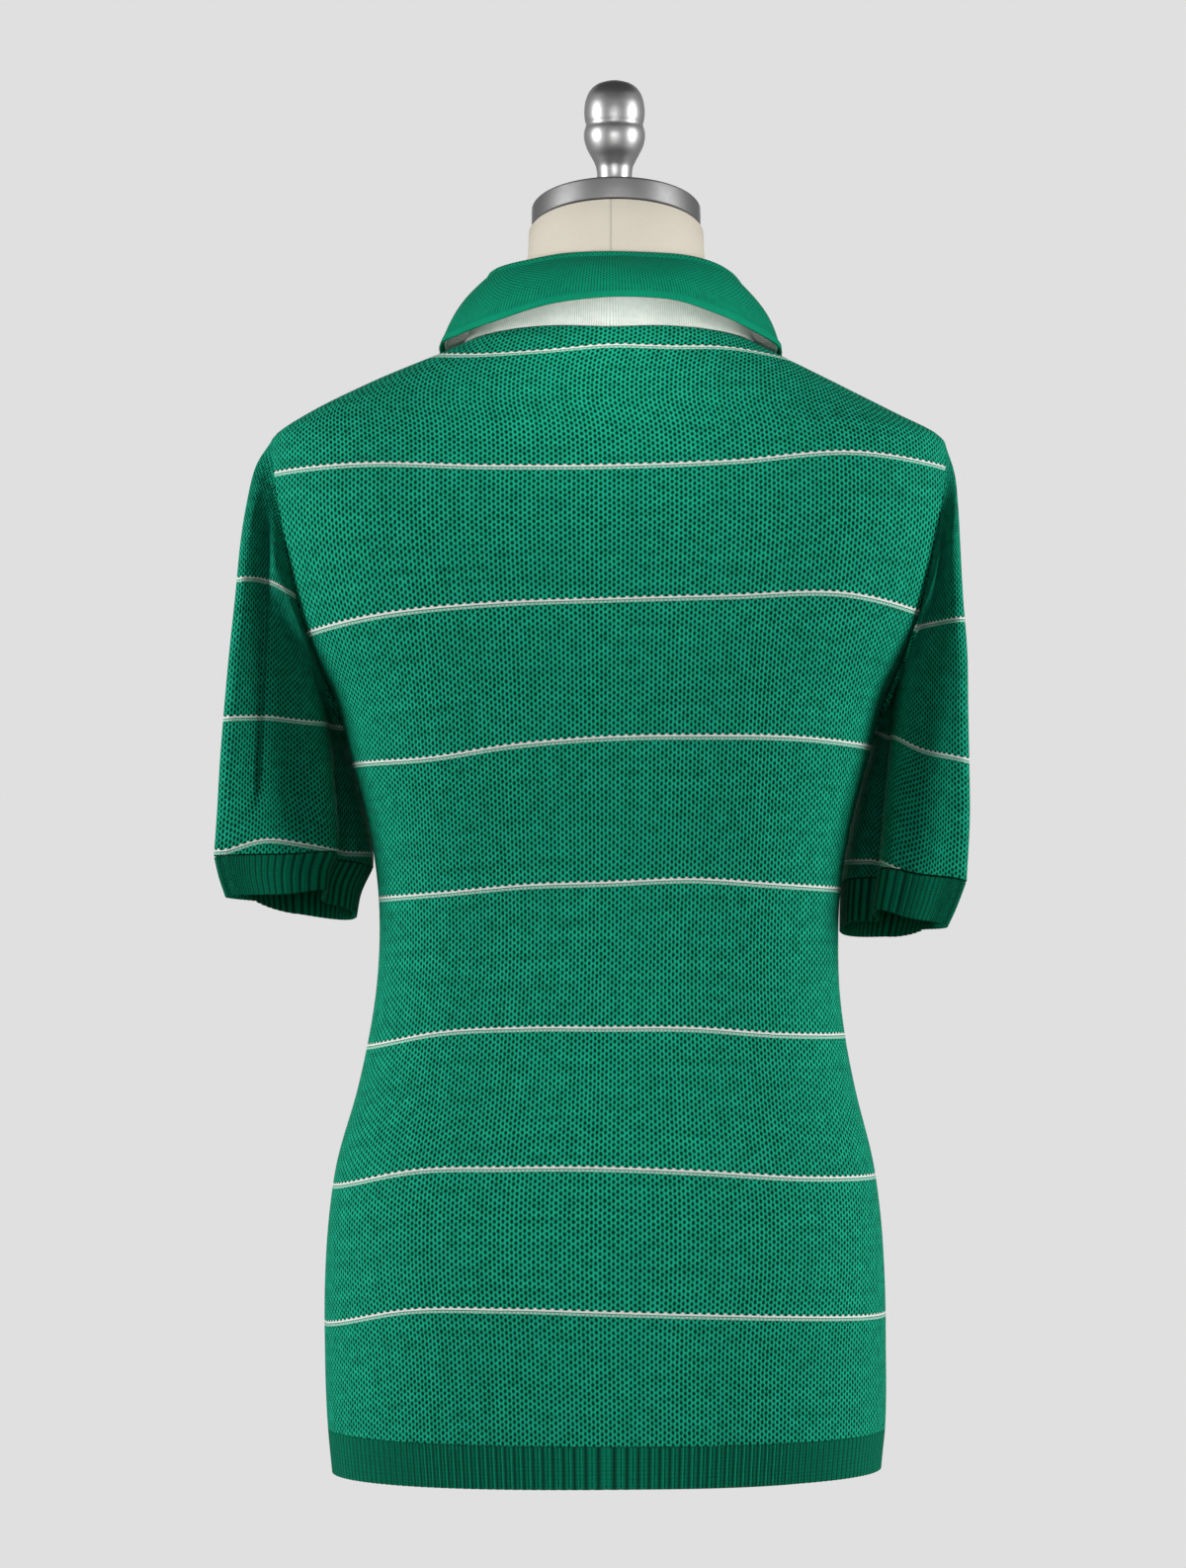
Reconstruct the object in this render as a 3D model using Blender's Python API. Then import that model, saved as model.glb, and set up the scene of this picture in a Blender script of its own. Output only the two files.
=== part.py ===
"""A knitted polo shirt with white stripes, worn by a limbless dress form with a metal cap and knob.

Metres, +Z up. The origin is at the bottom centre: the form stands on z = 0. The wearer's front faces -Y,
so the shirt's back faces +Y and the wearer's left side is at +X.

Every panel is a wall of cloth. A panel's outer face is a grid of points on the body's rings, and its inner
face is the same grid moved in by the cloth's thickness.
"""

from math import asin, atan2, cos, pi, radians, sin

import bpy
import numpy as np

# ---------------------------------------------------------------- driving sizes
CLOTH = 0.0015  # knitted panel
RIB = 0.0019  # ribbed cuff and hem
COLLAR_PLY = 0.0012  # one face of the double-faced collar
SEAM_GAP = 0.0003  # between two sewn pieces
SIDE_GAP = 0.0005  # between back and front, whose inner edges lean together
ARMHOLE_GAP = 0.0006  # between panel and sleeve, whose facets are cut differently
PLY_GAP = 0.0005  # between the collar's two faces
UNDERARM_GAP = 0.0005  # more of it where the sleeve turns sharply away under the arm
FORM_CLEAR = 0.0008  # space between the cloth and the form where the shirt rests on it
HEM_RIB_TOP = 0.029
HEM_BOTTOM = 0.004
HEM_TILT = 0.012  # how much the bottom edge drops for each metre toward the left
ARMPIT = 0.483
SHOULDER = 0.6465
ARMHOLE_HALF_DEPTH = 0.055
NECK_SIDE = 0.703  # where the shoulder seam meets the neckline
NECK_HALF_WIDTH, NECK_BACK, NECK_FRONT = 0.0915, 0.0615, 0.0775
PLACKET_FOOT = 0.505
PLACKET_HALF = 0.0165
BUTTON_RADIUS = 0.0055
BUTTON_HEIGHTS = (0.626, 0.580, 0.534)

# The body under and in the shirt: a row for each level, from the hem to inside the collar.
# z, half width, depth at the back, depth at the front, how far the middle lies toward the left arm
BODY = (
    (0.002, 0.1705, 0.1190, 0.1140, 0.0020),
    (0.030, 0.1731, 0.1210, 0.1160, 0.0021),
    (0.080, 0.1743, 0.1225, 0.1180, 0.0028),
    (0.120, 0.1740, 0.1210, 0.1170, 0.0031),
    (0.165, 0.1710, 0.1150, 0.1140, 0.0031),
    (0.190, 0.1675, 0.1100, 0.1110, 0.0030),
    (0.240, 0.1546, 0.0980, 0.1060, 0.0021),
    (0.265, 0.1494, 0.0925, 0.1050, 0.0018),
    (0.300, 0.1444, 0.0880, 0.1045, 0.0012),
    (0.330, 0.1430, 0.0865, 0.1050, 0.0006),
    (0.360, 0.1440, 0.0880, 0.1070, 0.0003),
    (0.400, 0.1500, 0.0950, 0.1120, 0.0000),
    (0.443, 0.1613, 0.1060, 0.1190, 0.0000),
    (0.486, 0.1740, 0.1160, 0.1250, 0.0000),
    (0.505, 0.1850, 0.1195, 0.1265, 0.0000),
    (0.528, 0.1990, 0.1220, 0.1265, 0.0000),
    (0.558, 0.2110, 0.1225, 0.1220, 0.0000),
    (0.600, 0.2170, 0.1160, 0.1090, 0.0000),
    (0.628, 0.2132, 0.1055, 0.0925, 0.0004),
    (0.646, 0.2068, 0.0970, 0.0765, 0.0020),
    (0.658, 0.1860, 0.0905, 0.0640, 0.0048),
    (0.678, 0.1462, 0.0790, 0.0470, 0.0046),
    (0.703, 0.0915, 0.0640, 0.0260, 0.0000),
    (0.718, 0.0618, 0.0550, 0.0100, 0.0000),
)
SQUARENESS = 2.3  # a ring's exponent: 2 is an ellipse, more is boxier

# The levels of the panels' rows, read down the side seam, the armhole and the shoulder seam.
PANEL_LEVELS = (
    0.0293, 0.070, 0.120, 0.165, 0.205, 0.245, 0.285, 0.325, 0.365, 0.405, 0.445, ARMPIT,
    0.493, 0.505, 0.520, 0.538, 0.558, 0.580, 0.602, 0.620, 0.635, SHOULDER, 0.660, 0.680, NECK_SIDE,
)
PANEL_COLUMNS = 22

# The sleeves: a row for each ring. Each ring leans from its outer point to its inner point.
# outer x, outer z, inner x, inner z, back y, front y, rise at the back, rise at the front
SLEEVE_LEFT = (
    (0.2162, 0.628, 0.1708, 0.4735, 0.0600, -0.0600, 0.000, 0.000),
    (0.2225, 0.601, 0.1662, 0.4630, 0.0630, -0.0630, 0.000, 0.000),
    (0.2270, 0.572, 0.1632, 0.4510, 0.0640, -0.0640, 0.000, 0.000),
    (0.2302, 0.540, 0.1598, 0.4385, 0.0640, -0.0640, 0.000, -0.001),
    (0.2336, 0.507, 0.1566, 0.4260, 0.0635, -0.0640, 0.001, -0.002),
    (0.2366, 0.473, 0.1540, 0.4140, 0.0630, -0.0640, 0.002, -0.004),
    (0.2393, 0.439, 0.1518, 0.4030, 0.0620, -0.0635, 0.002, -0.006),
    (0.2411, 0.407, 0.1502, 0.3935, 0.0610, -0.0625, 0.003, -0.008),
    (0.2430, 0.380, 0.1502, 0.3855, 0.0605, -0.0620, 0.003, -0.010),
)
SLEEVE_RIGHT = (
    (0.2115, 0.625, 0.1708, 0.4735, 0.0595, -0.0600, 0.000, 0.000),
    (0.2138, 0.600, 0.1662, 0.4630, 0.0620, -0.0630, 0.000, 0.000),
    (0.2153, 0.571, 0.1630, 0.4505, 0.0630, -0.0645, 0.000, -0.001),
    (0.2170, 0.539, 0.1595, 0.4375, 0.0630, -0.0655, 0.001, -0.002),
    (0.2195, 0.505, 0.1560, 0.4245, 0.0625, -0.0660, 0.002, -0.004),
    (0.2200, 0.470, 0.1530, 0.4115, 0.0615, -0.0665, 0.004, -0.006),
    (0.2207, 0.435, 0.1505, 0.3995, 0.0605, -0.0665, 0.005, -0.008),
    (0.2210, 0.400, 0.1485, 0.3890, 0.0595, -0.0660, 0.006, -0.010),
    (0.2190, 0.362, 0.1468, 0.3770, 0.0585, -0.0650, 0.006, -0.012),
)
CUFF_LEFT = (
    (0.2400, 0.367, 0.1575, 0.3735, 0.0595, -0.0610, 0.003, -0.014),
    (0.2360, 0.354, 0.1605, 0.3600, 0.0585, -0.0600, 0.004, -0.016),
)
CUFF_RIGHT = (
    (0.2130, 0.346, 0.1460, 0.3630, 0.0570, -0.0640, 0.006, -0.014),
    (0.2075, 0.334, 0.1458, 0.3510, 0.0560, -0.0630, 0.006, -0.016),
)
SLEEVE_TURN = 56  # degrees a sleeve's ring is turned: its back edge lies further out than its front edge
TURN_RINGS = 3.5  # the rings over which the turn grows from nothing
SLEEVE_SQUARENESS = 2.35

# The main folds of the sleeves: soft troughs that run down the ring at one angle (0 outer, 90 back). A depth below
# nothing is a soft ridge.
# angle, spread, depth, first ring, last ring
FOLDS_LEFT = (
    (54, 9, 0.0155, 0.4, 7.8),
    (84, 12, 0.0060, 5.0, 9.0),
    (108, 12, -0.0100, 2.0, 11.0),
    (138, 15, 0.0090, 2.0, 11.0),
    (160, 11, -0.0040, 0.1, 4.0),
    (-58, 15, 0.0050, 0.8, 6.0),
)
FOLDS_RIGHT = (
    (62, 11, 0.0080, 0.5, 5.0),
    (72, 12, 0.0060, 4.5, 9.5),
    (100, 12, -0.0100, 1.6, 11.0),
    (130, 15, 0.0110, 1.6, 11.0),
    (160, 11, -0.0040, 0.1, 4.0),
    (-66, 15, 0.0050, 0.8, 6.5),
)

# The collar: a row for each station, from the left front end round the back to the right front end.
# Around is the angle on the neckline in degrees (0 is +X, 90 is the centre back).
# around, roll line x y z, leaf edge x y z
COLLAR = (
    (-87.5, 0.0070, -0.0850, 0.6700, 0.0430, -0.1120, 0.6080),
    (-70, 0.0300, -0.0790, 0.6860, 0.0740, -0.1010, 0.6230),
    (-45, 0.0560, -0.0570, 0.7120, 0.0985, -0.0640, 0.6620),
    (-20, 0.0700, -0.0250, 0.7340, 0.1045, -0.0240, 0.6945),
    (3, 0.0725, 0.0040, 0.7430, 0.1045, 0.0040, 0.7025),
    (28, 0.0690, 0.0300, 0.7460, 0.0930, 0.0340, 0.7050),
    (55, 0.0480, 0.0540, 0.7485, 0.0690, 0.0720, 0.7090),
    (75, 0.0240, 0.0640, 0.7510, 0.0330, 0.0940, 0.7170),
    (90, 0.0000, 0.0665, 0.7515, 0.0000, 0.0990, 0.7200),
    (105, -0.0240, 0.0655, 0.7510, -0.0330, 0.0950, 0.7195),
    (125, -0.0480, 0.0590, 0.7500, -0.0620, 0.0760, 0.7140),
    (152, -0.0715, 0.0360, 0.7445, -0.0900, 0.0380, 0.7060),
    (177, -0.0810, 0.0060, 0.7350, -0.1050, 0.0060, 0.7000),
    (200, -0.0750, -0.0230, 0.7270, -0.1055, -0.0240, 0.6930),
    (225, -0.0580, -0.0560, 0.7090, -0.0985, -0.0640, 0.6620),
    (250, -0.0310, -0.0790, 0.6850, -0.0740, -0.1010, 0.6230),
    (267.5, -0.0070, -0.0850, 0.6700, -0.0430, -0.1120, 0.6080),
)
COLLAR_STATIONS = 28
ROLL_RADIUS = 0.0030
LEAF_LIFT = 0.0045  # how far the leaf bows off the straight line from roll to edge

# The dress form's neck, cap and knob.
NECK_X, NECK_Y, NECK_RADIUS = -0.004, -0.002, 0.0550
NECK_FLARE, NECK_BLEND = 0.9, 0.012  # how the neck widens to its root, and rounds into the shoulders
CAP_RADIUS, CAP_THICK, CAP_ROUND = 0.0530, 0.0130, 0.0014
CAP_TOP, CAP_SLOPE = 0.7885, 0.215  # height of the cap's top at its centre, and its rise for each metre of +Y
KNOB_X = -0.003
# The knob's turned outline from the stem's foot to the dome, heights above the cap's top.
# height, radius
KNOB = (
    (0.0004, 0.0140), (0.0040, 0.0138), (0.0052, 0.0108), (0.0140, 0.0104), (0.0185, 0.0112), (0.0225, 0.0142),
    (0.0270, 0.0174), (0.0330, 0.0192), (0.0385, 0.0193), (0.0425, 0.0187), (0.0443, 0.0183), (0.0462, 0.0187),
    (0.0505, 0.0194), (0.0560, 0.0192), (0.0620, 0.0181), (0.0680, 0.0160), (0.0740, 0.0128), (0.0785, 0.0085),
    (0.0805, 0.0040),
)
FORM_PLATE = 0.1870  # the flat plates that close the form's armholes
FORM_SEGMENTS = 2 * PANEL_COLUMNS  # in line with the panels, so that facets lie over facets


# ---------------------------------------------------------------- reading the tables
def smooth(table, at):
    """A table's columns after the first, read between its rows on smooth curves."""
    rows = np.array(table)
    keys, values = rows[:, 0], rows[:, 1:]
    slopes = np.gradient(values, keys, axis=0)
    at = min(max(at, keys[0]), keys[-1])
    i = min(int(np.searchsorted(keys, at, side="right")) - 1, len(keys) - 2)
    span = keys[i + 1] - keys[i]
    t = (at - keys[i]) / span
    return (
        (2 * t**3 - 3 * t**2 + 1) * values[i]
        + (t**3 - 2 * t**2 + t) * span * slopes[i]
        + (3 * t**2 - 2 * t**3) * values[i + 1]
        + (t**3 - t**2) * span * slopes[i + 1]
    )


def ease(t):
    t = min(max(t, 0.0), 1.0)
    return t * t * (3 - 2 * t)


def power(value, exponent):
    return abs(value) ** exponent * (1 if value >= 0 else -1)


# ---------------------------------------------------------------- the body's surface
def body_point(angle, z):
    """The point of the ring at height z at this angle, 0 at +X and pi/2 at the centre back."""
    half_width, back, front, shift = smooth(BODY, z)
    depth = back if sin(angle) >= 0 else front
    x = shift + half_width * power(cos(angle), 2 / SQUARENESS)
    y = depth * power(sin(angle), 2 / SQUARENESS)
    return np.array((x, y, z))


def neckline_height(angle):
    """Where the ring's point at this angle lies on the neck hole's oval, seen from above."""
    low, high = 0.60, 0.717
    depth = NECK_BACK if sin(angle) >= 0 else NECK_FRONT
    for _ in range(40):
        middle = (low + high) / 2
        x, y, _z = body_point(angle, middle)
        outside = (x / NECK_HALF_WIDTH) ** 2 + (y / depth) ** 2 > 1
        low, high = (middle, high) if outside else (low, middle)
    return low


def edge_angle(z, side):
    """The angle at which a panel ends: the side seam, the armhole or the shoulder seam. side is 1 for the back."""
    edge = SIDE_GAP / 2
    if ARMPIT < z < SHOULDER:
        edge += ARMHOLE_HALF_DEPTH * sin(pi * (z - ARMPIT) / (SHOULDER - ARMPIT)) ** 0.6
    depth = smooth(BODY, z)[1 if side > 0 else 2]
    return asin((edge / depth) ** (SQUARENESS / 2))


def panel_point(side, across, level):
    """A point of the back (side 1) or the front (side -1): across runs 0 to 1 from +X to -X."""
    start = edge_angle(level, side)
    angle = start + across * (pi - 2 * start)
    lift = (neckline_height(side * pi * across) - NECK_SIDE) if 0 < across < 1 else 0.0
    lift *= ease((level - 0.48) / (NECK_SIDE - 0.48))
    return body_point(side * angle, level + lift)


# ---------------------------------------------------------------- walls of cloth
def grid_normals(points, closed):
    """Each point's outward normal, from its neighbours along and across the grid."""
    if closed:
        across = np.roll(points, -1, axis=1) - np.roll(points, 1, axis=1)
    else:
        across = np.gradient(points, axis=1)
    along = np.gradient(points, axis=0)
    normals = np.cross(across, along)
    return normals / np.linalg.norm(normals, axis=2, keepdims=True)


def two_triangles(ring):
    """A cell cut along its first diagonal. Every wall is cut so, and stacked walls then keep their gap."""
    a, b, c, d = ring
    return [[a, b, c], [a, c, d]]


def wall(name, points, thickness, material, closed=False, keep=None, first_normals=None):
    """A wall whose outer face is a grid of points, rows by columns, with any cells left out."""
    points = np.asarray(points, float)
    rows, columns = points.shape[:2]
    normals = grid_normals(points, closed)
    if first_normals is not None:
        normals[0] = first_normals
    inner = points - normals * thickness
    vertices = np.concatenate([points.reshape(-1, 3), inner.reshape(-1, 3)])
    count = rows * columns
    cells = columns if closed else columns - 1
    kept = keep if keep is not None else (lambda row, column: True)

    def is_kept(row, column):
        if closed:
            column %= cells
        return 0 <= row < rows - 1 and 0 <= column < cells and kept(row, column)

    def corner(row, column, layer):
        return layer * count + row * columns + column % columns

    faces = []
    for row in range(rows - 1):
        for column in range(cells):
            if not is_kept(row, column):
                continue
            ring = ((row, column), (row, column + 1), (row + 1, column + 1), (row + 1, column))
            faces += two_triangles([corner(*at, 0) for at in ring])
            faces += [face[::-1] for face in two_triangles([corner(*at, 1) for at in ring])]
            neighbours = ((row - 1, column), (row, column + 1), (row + 1, column), (row, column - 1))
            for side, neighbour in enumerate(neighbours):
                if is_kept(*neighbour):
                    continue
                a, b = ring[side], ring[(side + 1) % 4]
                faces += two_triangles([corner(*b, 0), corner(*a, 0), corner(*a, 1), corner(*b, 1)])
    return add_mesh(name, vertices, faces, material)


def add_mesh(name, vertices, faces, material):
    used = sorted({index for face in faces for index in face})
    renumber = {old: new for new, old in enumerate(used)}
    mesh = bpy.data.meshes.new(name)
    mesh.from_pydata([tuple(vertices[i]) for i in used], [], [[renumber[i] for i in face] for face in faces])
    mesh.shade_smooth()
    mesh.set_sharp_from_angle(angle=0.7)
    mesh.materials.append(material)
    piece = bpy.data.objects.new(name, mesh)
    bpy.context.scene.collection.objects.link(piece)
    return piece


def stack(name, rings, material):
    """A solid through closed rings of equal count, from the lowest up, with flat ends."""
    rings = np.asarray(rings, float)
    levels, count = rings.shape[:2]
    faces = [list(reversed(range(count)))]
    for level in range(levels - 1):
        for i in range(count):
            a, b = level * count + i, level * count + (i + 1) % count
            faces += two_triangles([a, b, b + count, a + count])
    faces.append([(levels - 1) * count + i for i in range(count)])
    return add_mesh(name, rings.reshape(-1, 3), faces, material)


def finish(name, colour, roughness, metallic=0.0):
    material = bpy.data.materials.new(name)
    material.use_nodes = True
    shader = material.node_tree.nodes["Principled BSDF"]
    shader.inputs["Base Color"].default_value = (*colour, 1)
    shader.inputs["Roughness"].default_value = roughness
    shader.inputs["Metallic"].default_value = metallic
    return material


# ---------------------------------------------------------------- the shirt
def panel_grid(side):
    """The panel's outer face from the rib up. Columns run so that the wall faces out on either side."""
    steps = [i / PANEL_COLUMNS for i in range(PANEL_COLUMNS + 1)]
    if side < 0:
        steps.reverse()
    return np.array([[panel_point(side, across, level) for across in steps] for level in PANEL_LEVELS])


def make_back(knit):
    return wall("back", panel_grid(1), CLOTH, knit)


def slot_columns():
    """The front's two middle columns, which the placket's slot takes out."""
    middle = PANEL_COLUMNS // 2
    return (middle - 1, middle)


def front_grid():
    """The front's outer face, with the columns beside the middle drawn to the slot's edges."""
    grid = panel_grid(-1)
    middle = PANEL_COLUMNS // 2
    slot_half = PLACKET_HALF - 0.0015
    for row, level in enumerate(PANEL_LEVELS):
        if level < PLACKET_FOOT - 0.03:
            continue
        for column, x in ((middle - 1, -slot_half), (middle + 1, slot_half)):
            outer = grid[row, column]
            near = grid[row, middle]
            share = abs(x) / abs(outer[0])
            grid[row, column] = near + (outer - near) * share
            grid[row, column, 0] = x
    return grid


def make_front(knit):
    foot = placket_foot()
    slot = slot_columns()
    return wall("front", front_grid(), CLOTH, knit, keep=lambda row, column: row < foot or column not in slot)


def placket_foot():
    return next(row for row, level in enumerate(PANEL_LEVELS) if level > PLACKET_FOOT)


def band(name, half, off, material):
    """A placket band on the front's own middle points, moved out by off. Returns its middle line, foot first."""
    grid = front_grid()
    middle = PANEL_COLUMNS // 2
    foot = placket_foot()
    strip = grid[foot:, middle - 1 : middle + 2].copy()
    normals = grid_normals(grid, False)[foot:, middle : middle + 1]
    strip[:, :, 0] = np.array((-half, 0.0, half))
    strip += normals * off
    strip[0, :, 2] += SEAM_GAP
    wall(name, strip, CLOTH, material)
    return strip[:, 1]


def make_placket(knit, shell):
    band("placket_under", PLACKET_HALF - 0.0015 - SEAM_GAP, 0.0, knit)
    line = band("placket_upper", PLACKET_HALF, SEAM_GAP + CLOTH, knit)
    for number, z in enumerate(BUTTON_HEIGHTS, start=1):
        y = np.interp(z, line[:, 2], line[:, 1])
        span = 0.006
        rise = np.interp(z + span, line[:, 2], line[:, 1]) - np.interp(z - span, line[:, 2], line[:, 1])
        make_button(f"button_{number}", y, z, atan2(rise, 2 * span), shell)


def make_button(name, y, z, lean, shell):
    """A turned disc standing off the band along its normal."""
    out = np.array((0.0, -cos(lean), sin(lean)))
    up = np.array((0.0, sin(lean), cos(lean)))
    side = np.array((1.0, 0.0, 0.0))
    centre = np.array((0.0, y, z))
    rings = []
    for off, radius in ((0.0004, 0.90), (0.0010, 1.0), (0.0022, 1.0), (0.0028, 0.88)):
        ring = [
            centre + out * off + radius * BUTTON_RADIUS * (side * cos(t) + up * sin(t))
            for t in (2 * pi * i / 20 for i in range(20))
        ]
        rings.append(ring)
    return stack(name, rings, shell)


def armhole_ring(sign):
    """The sleeve's first ring and its normals: the panels' armhole edges, moved out by the seam gap.

    It starts at the shoulder, goes down the back and comes up the front.
    """
    rows = [row for row, level in enumerate(PANEL_LEVELS) if ARMPIT <= level <= SHOULDER]
    points, normals = {}, {}
    for side in (1, -1):
        grid = panel_grid(side)
        outward = grid_normals(grid, False)
        edge, near = (0, 1) if sign * side > 0 else (-1, -2)
        for row in rows:
            away = grid[row, edge] - grid[row, near]
            gap = ARMHOLE_GAP + UNDERARM_GAP * ease((0.545 - PANEL_LEVELS[row]) / 0.03)
            points[side, row] = grid[row, edge] + away / np.linalg.norm(away) * gap
            normals[side, row] = outward[row, edge]
    for row in (rows[0], rows[-1]):
        points[1, row] = (points[1, row] + points[-1, row]) / 2 + np.array((sign * SEAM_GAP / 2, 0, 0))
        normals[1, row] = (normals[1, row] + normals[-1, row]) * (1, 0, 1)
        normals[1, row] /= np.linalg.norm(normals[1, row])
    order = [(1, row) for row in reversed(rows)] + [(-1, row) for row in rows[1:-1]]
    return np.array([points[key] for key in order]), np.array([normals[key] for key in order])


def ring_point(row, angle, sign, turn):
    """A point of a sleeve's ring: 0 at its outer point, pi/2 at its back."""
    outer_x, outer_z, inner_x, inner_z, back, front, back_rise, front_rise = row
    middle = np.array(((outer_x + inner_x) / 2, 0.0, (outer_z + inner_z) / 2))
    half = np.array(((outer_x - inner_x) / 2, 0.0, (outer_z - inner_z) / 2))
    point = middle + half * power(cos(angle), 2 / SLEEVE_SQUARENESS)
    swing = power(sin(angle + radians(turn)), 2 / SLEEVE_SQUARENESS)
    point[1] = (back if swing >= 0 else front) * abs(swing)
    point[2] += (back_rise if swing >= 0 else front_rise) * abs(swing)
    point[0] *= sign
    return point


def fold_depth(folds, ring, angle):
    """How far the sleeve's main folds draw the cloth in at this ring and angle."""
    depth = 0.0
    for fold_angle, spread, deep, first, last in folds:
        away = (np.degrees(angle) - fold_angle + 180) % 360 - 180
        along = ease((ring - first) / 1.5) * ease((last - ring) / 1.5)
        depth += deep * along * np.exp(-((away / spread) ** 2))
    return depth


def ring_angles(count):
    return [2 * pi * i / count for i in range(count)]


def sleeve_rings(table, folds, sign):
    first, _normals = armhole_ring(sign)
    count = len(first)
    angles = ring_angles(count)
    oval = (0.2050, SHOULDER, 0.1735, ARMPIT, ARMHOLE_HALF_DEPTH, -ARMHOLE_HALF_DEPTH, 0, 0)
    ideal = np.array([ring_point(oval, t, sign, 0.0) for t in angles])
    rings = [first]
    for number, row in enumerate(table, start=1):
        turn = SLEEVE_TURN * ease(number / TURN_RINGS)
        ring = np.array([ring_point(row, t, sign, turn) for t in angles])
        ring += (first - ideal) * max(0.0, 1 - number / 3.5) ** 1.5
        middle = ring.mean(axis=0)
        for i, t in enumerate(angles):
            inward = middle - ring[i]
            ring[i] += inward / np.linalg.norm(inward) * fold_depth(folds, number, t)
        rings.append(ring)
    return np.array(rings)


def facing_out(rings, sign):
    """Rings in the order that makes the wall face out: round the left arm one way, the right arm the other."""
    return rings[:, ::-1] if sign > 0 else rings


def make_sleeve(side, sign, table, folds, knit):
    """At the shoulder the sleeve's rim lies along the panels' rim. Under the arm the cloth folds back on itself."""
    rings = facing_out(sleeve_rings(table, folds, sign), sign)
    _points, normals = armhole_ring(sign)
    along_panel = facing_out(normals[None], sign)[0]
    own = grid_normals(rings, True)[0]
    share = np.array([ease((z - ARMPIT - 0.04) / 0.06) for z in rings[0, :, 2]])[:, None]
    rim = along_panel * share + own * (1 - share)
    rim /= np.linalg.norm(rim, axis=1, keepdims=True)
    wall(f"sleeve_{side}", rings, CLOTH, knit, closed=True, first_normals=rim)
    return rings


def make_cuff(side, sign, table, folds, sleeve, rib):
    """The cuff hangs from the sleeve's last ring and draws in towards its rim."""
    step = sleeve[-1] - sleeve[-2]
    seam = sleeve[-1] + step / np.linalg.norm(step, axis=1, keepdims=True) * SEAM_GAP
    angles = ring_angles(len(seam))
    rings = []
    for row in table:
        ring = np.array([ring_point(row, t, sign, SLEEVE_TURN) for t in angles])
        middle = ring.mean(axis=0)
        for i, t in enumerate(angles):
            inward = middle - ring[i]
            ring[i] += inward / np.linalg.norm(inward) * fold_depth(folds, len(SLEEVE_LEFT), t)
        rings.append(ring)
    rings = np.concatenate([seam[None], facing_out(np.array(rings), sign)])
    rim = grid_normals(sleeve, True)[-1]
    wall(f"cuff_{side}", rings, RIB, rib, closed=True, first_normals=rim)


def make_hem(rib):
    rows = []
    count = 2 * PANEL_COLUMNS
    for z, share in ((HEM_BOTTOM, 1.0), (0.016, 0.8), (HEM_RIB_TOP, 0.0)):
        ring = np.array([body_point(angle, z) for angle in ring_angles(count)])
        ring[:, 2] -= HEM_TILT * share * ring[:, 0]
        rows.append(ring)
    return wall("hem_rib", rows, RIB, rib, closed=True)


# ---------------------------------------------------------------- the collar
def collar_section(around):
    """The middle line between the collar's two faces at one station, from the neckline up, over and down."""
    roll_x, roll_y, roll_z, edge_x, edge_y, edge_z = smooth(COLLAR, around)
    angle = np.radians(around)
    seam = body_point(angle, neckline_height(angle))
    seam[2] += 0.0006 + 0.0024 * max(0.0, -sin(angle))
    flat_out = np.array((edge_x - roll_x, edge_y - roll_y, 0.0))
    outward = flat_out / np.linalg.norm(flat_out)
    radial = np.array((seam[0], seam[1], 0.0)) / np.hypot(seam[0], seam[1])
    base = seam - radial * CLOTH
    crest = np.array((roll_x, roll_y, roll_z - ROLL_RADIUS))
    foot = crest - outward * ROLL_RADIUS
    shoulder = crest + outward * ROLL_RADIUS
    edge = np.array((edge_x, edge_y, edge_z))
    points = [base + (foot - base) * t for t in (0.0, 0.5)]
    for step in range(4):
        t = pi * step / 3
        points.append(crest - outward * ROLL_RADIUS * cos(t) + np.array((0, 0, ROLL_RADIUS * sin(t))))
    run = edge - shoulder
    leaf_out = np.cross(run, np.cross(outward, run))
    leaf_out /= np.linalg.norm(leaf_out)
    for t in (0.33, 0.67, 1.0):
        points.append(shoulder + run * t + leaf_out * LEAF_LIFT * sin(pi * t))
    return points


def collar_grid():
    first, last = COLLAR[0][0], COLLAR[-1][0]
    return np.array(
        [
            collar_section(first + (last - first) * i / COLLAR_STATIONS)
            for i in range(COLLAR_STATIONS + 1)
        ]
    ).swapaxes(0, 1)


def make_collar(green, white):
    """Green lies outside the roll, on the neck and on top of the leaf; white lies inside it."""
    grid = collar_grid()
    normals = grid_normals(grid, False)
    wall("collar_under", grid + normals * (PLY_GAP / 2 + COLLAR_PLY), COLLAR_PLY, white)
    wall("collar_top", grid - normals * (PLY_GAP / 2), COLLAR_PLY, green)


# ---------------------------------------------------------------- the dress form
def neck_ring(radius, height, follow):
    """A round ring of the neck. follow is 0 for a level ring and 1 for one that lies along the cap's slope."""
    ring = []
    for angle in ring_angles(FORM_SEGMENTS):
        x, y = NECK_X + radius * cos(angle), NECK_Y + radius * sin(angle)
        ring.append((x, y, height + follow * CAP_SLOPE * (y - NECK_Y)))
    return np.array(ring)


def outside_neck(ring, height):
    """The ring with every point at least as far out as the round neck, which flares towards its root."""
    radius = NECK_RADIUS + 0.0007 + NECK_FLARE * max(0.0, 0.745 - height) ** 2
    middle = np.array((NECK_X, NECK_Y, 0.0))
    away = (ring - middle) * (1, 1, 0)
    reach = np.linalg.norm(away, axis=1, keepdims=True)
    soft = np.maximum(NECK_BLEND - np.abs(radius - reach), 0.0) ** 2 / (4 * NECK_BLEND)
    return ring + away / reach * (np.maximum(0.0, radius - reach) + soft)


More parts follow.
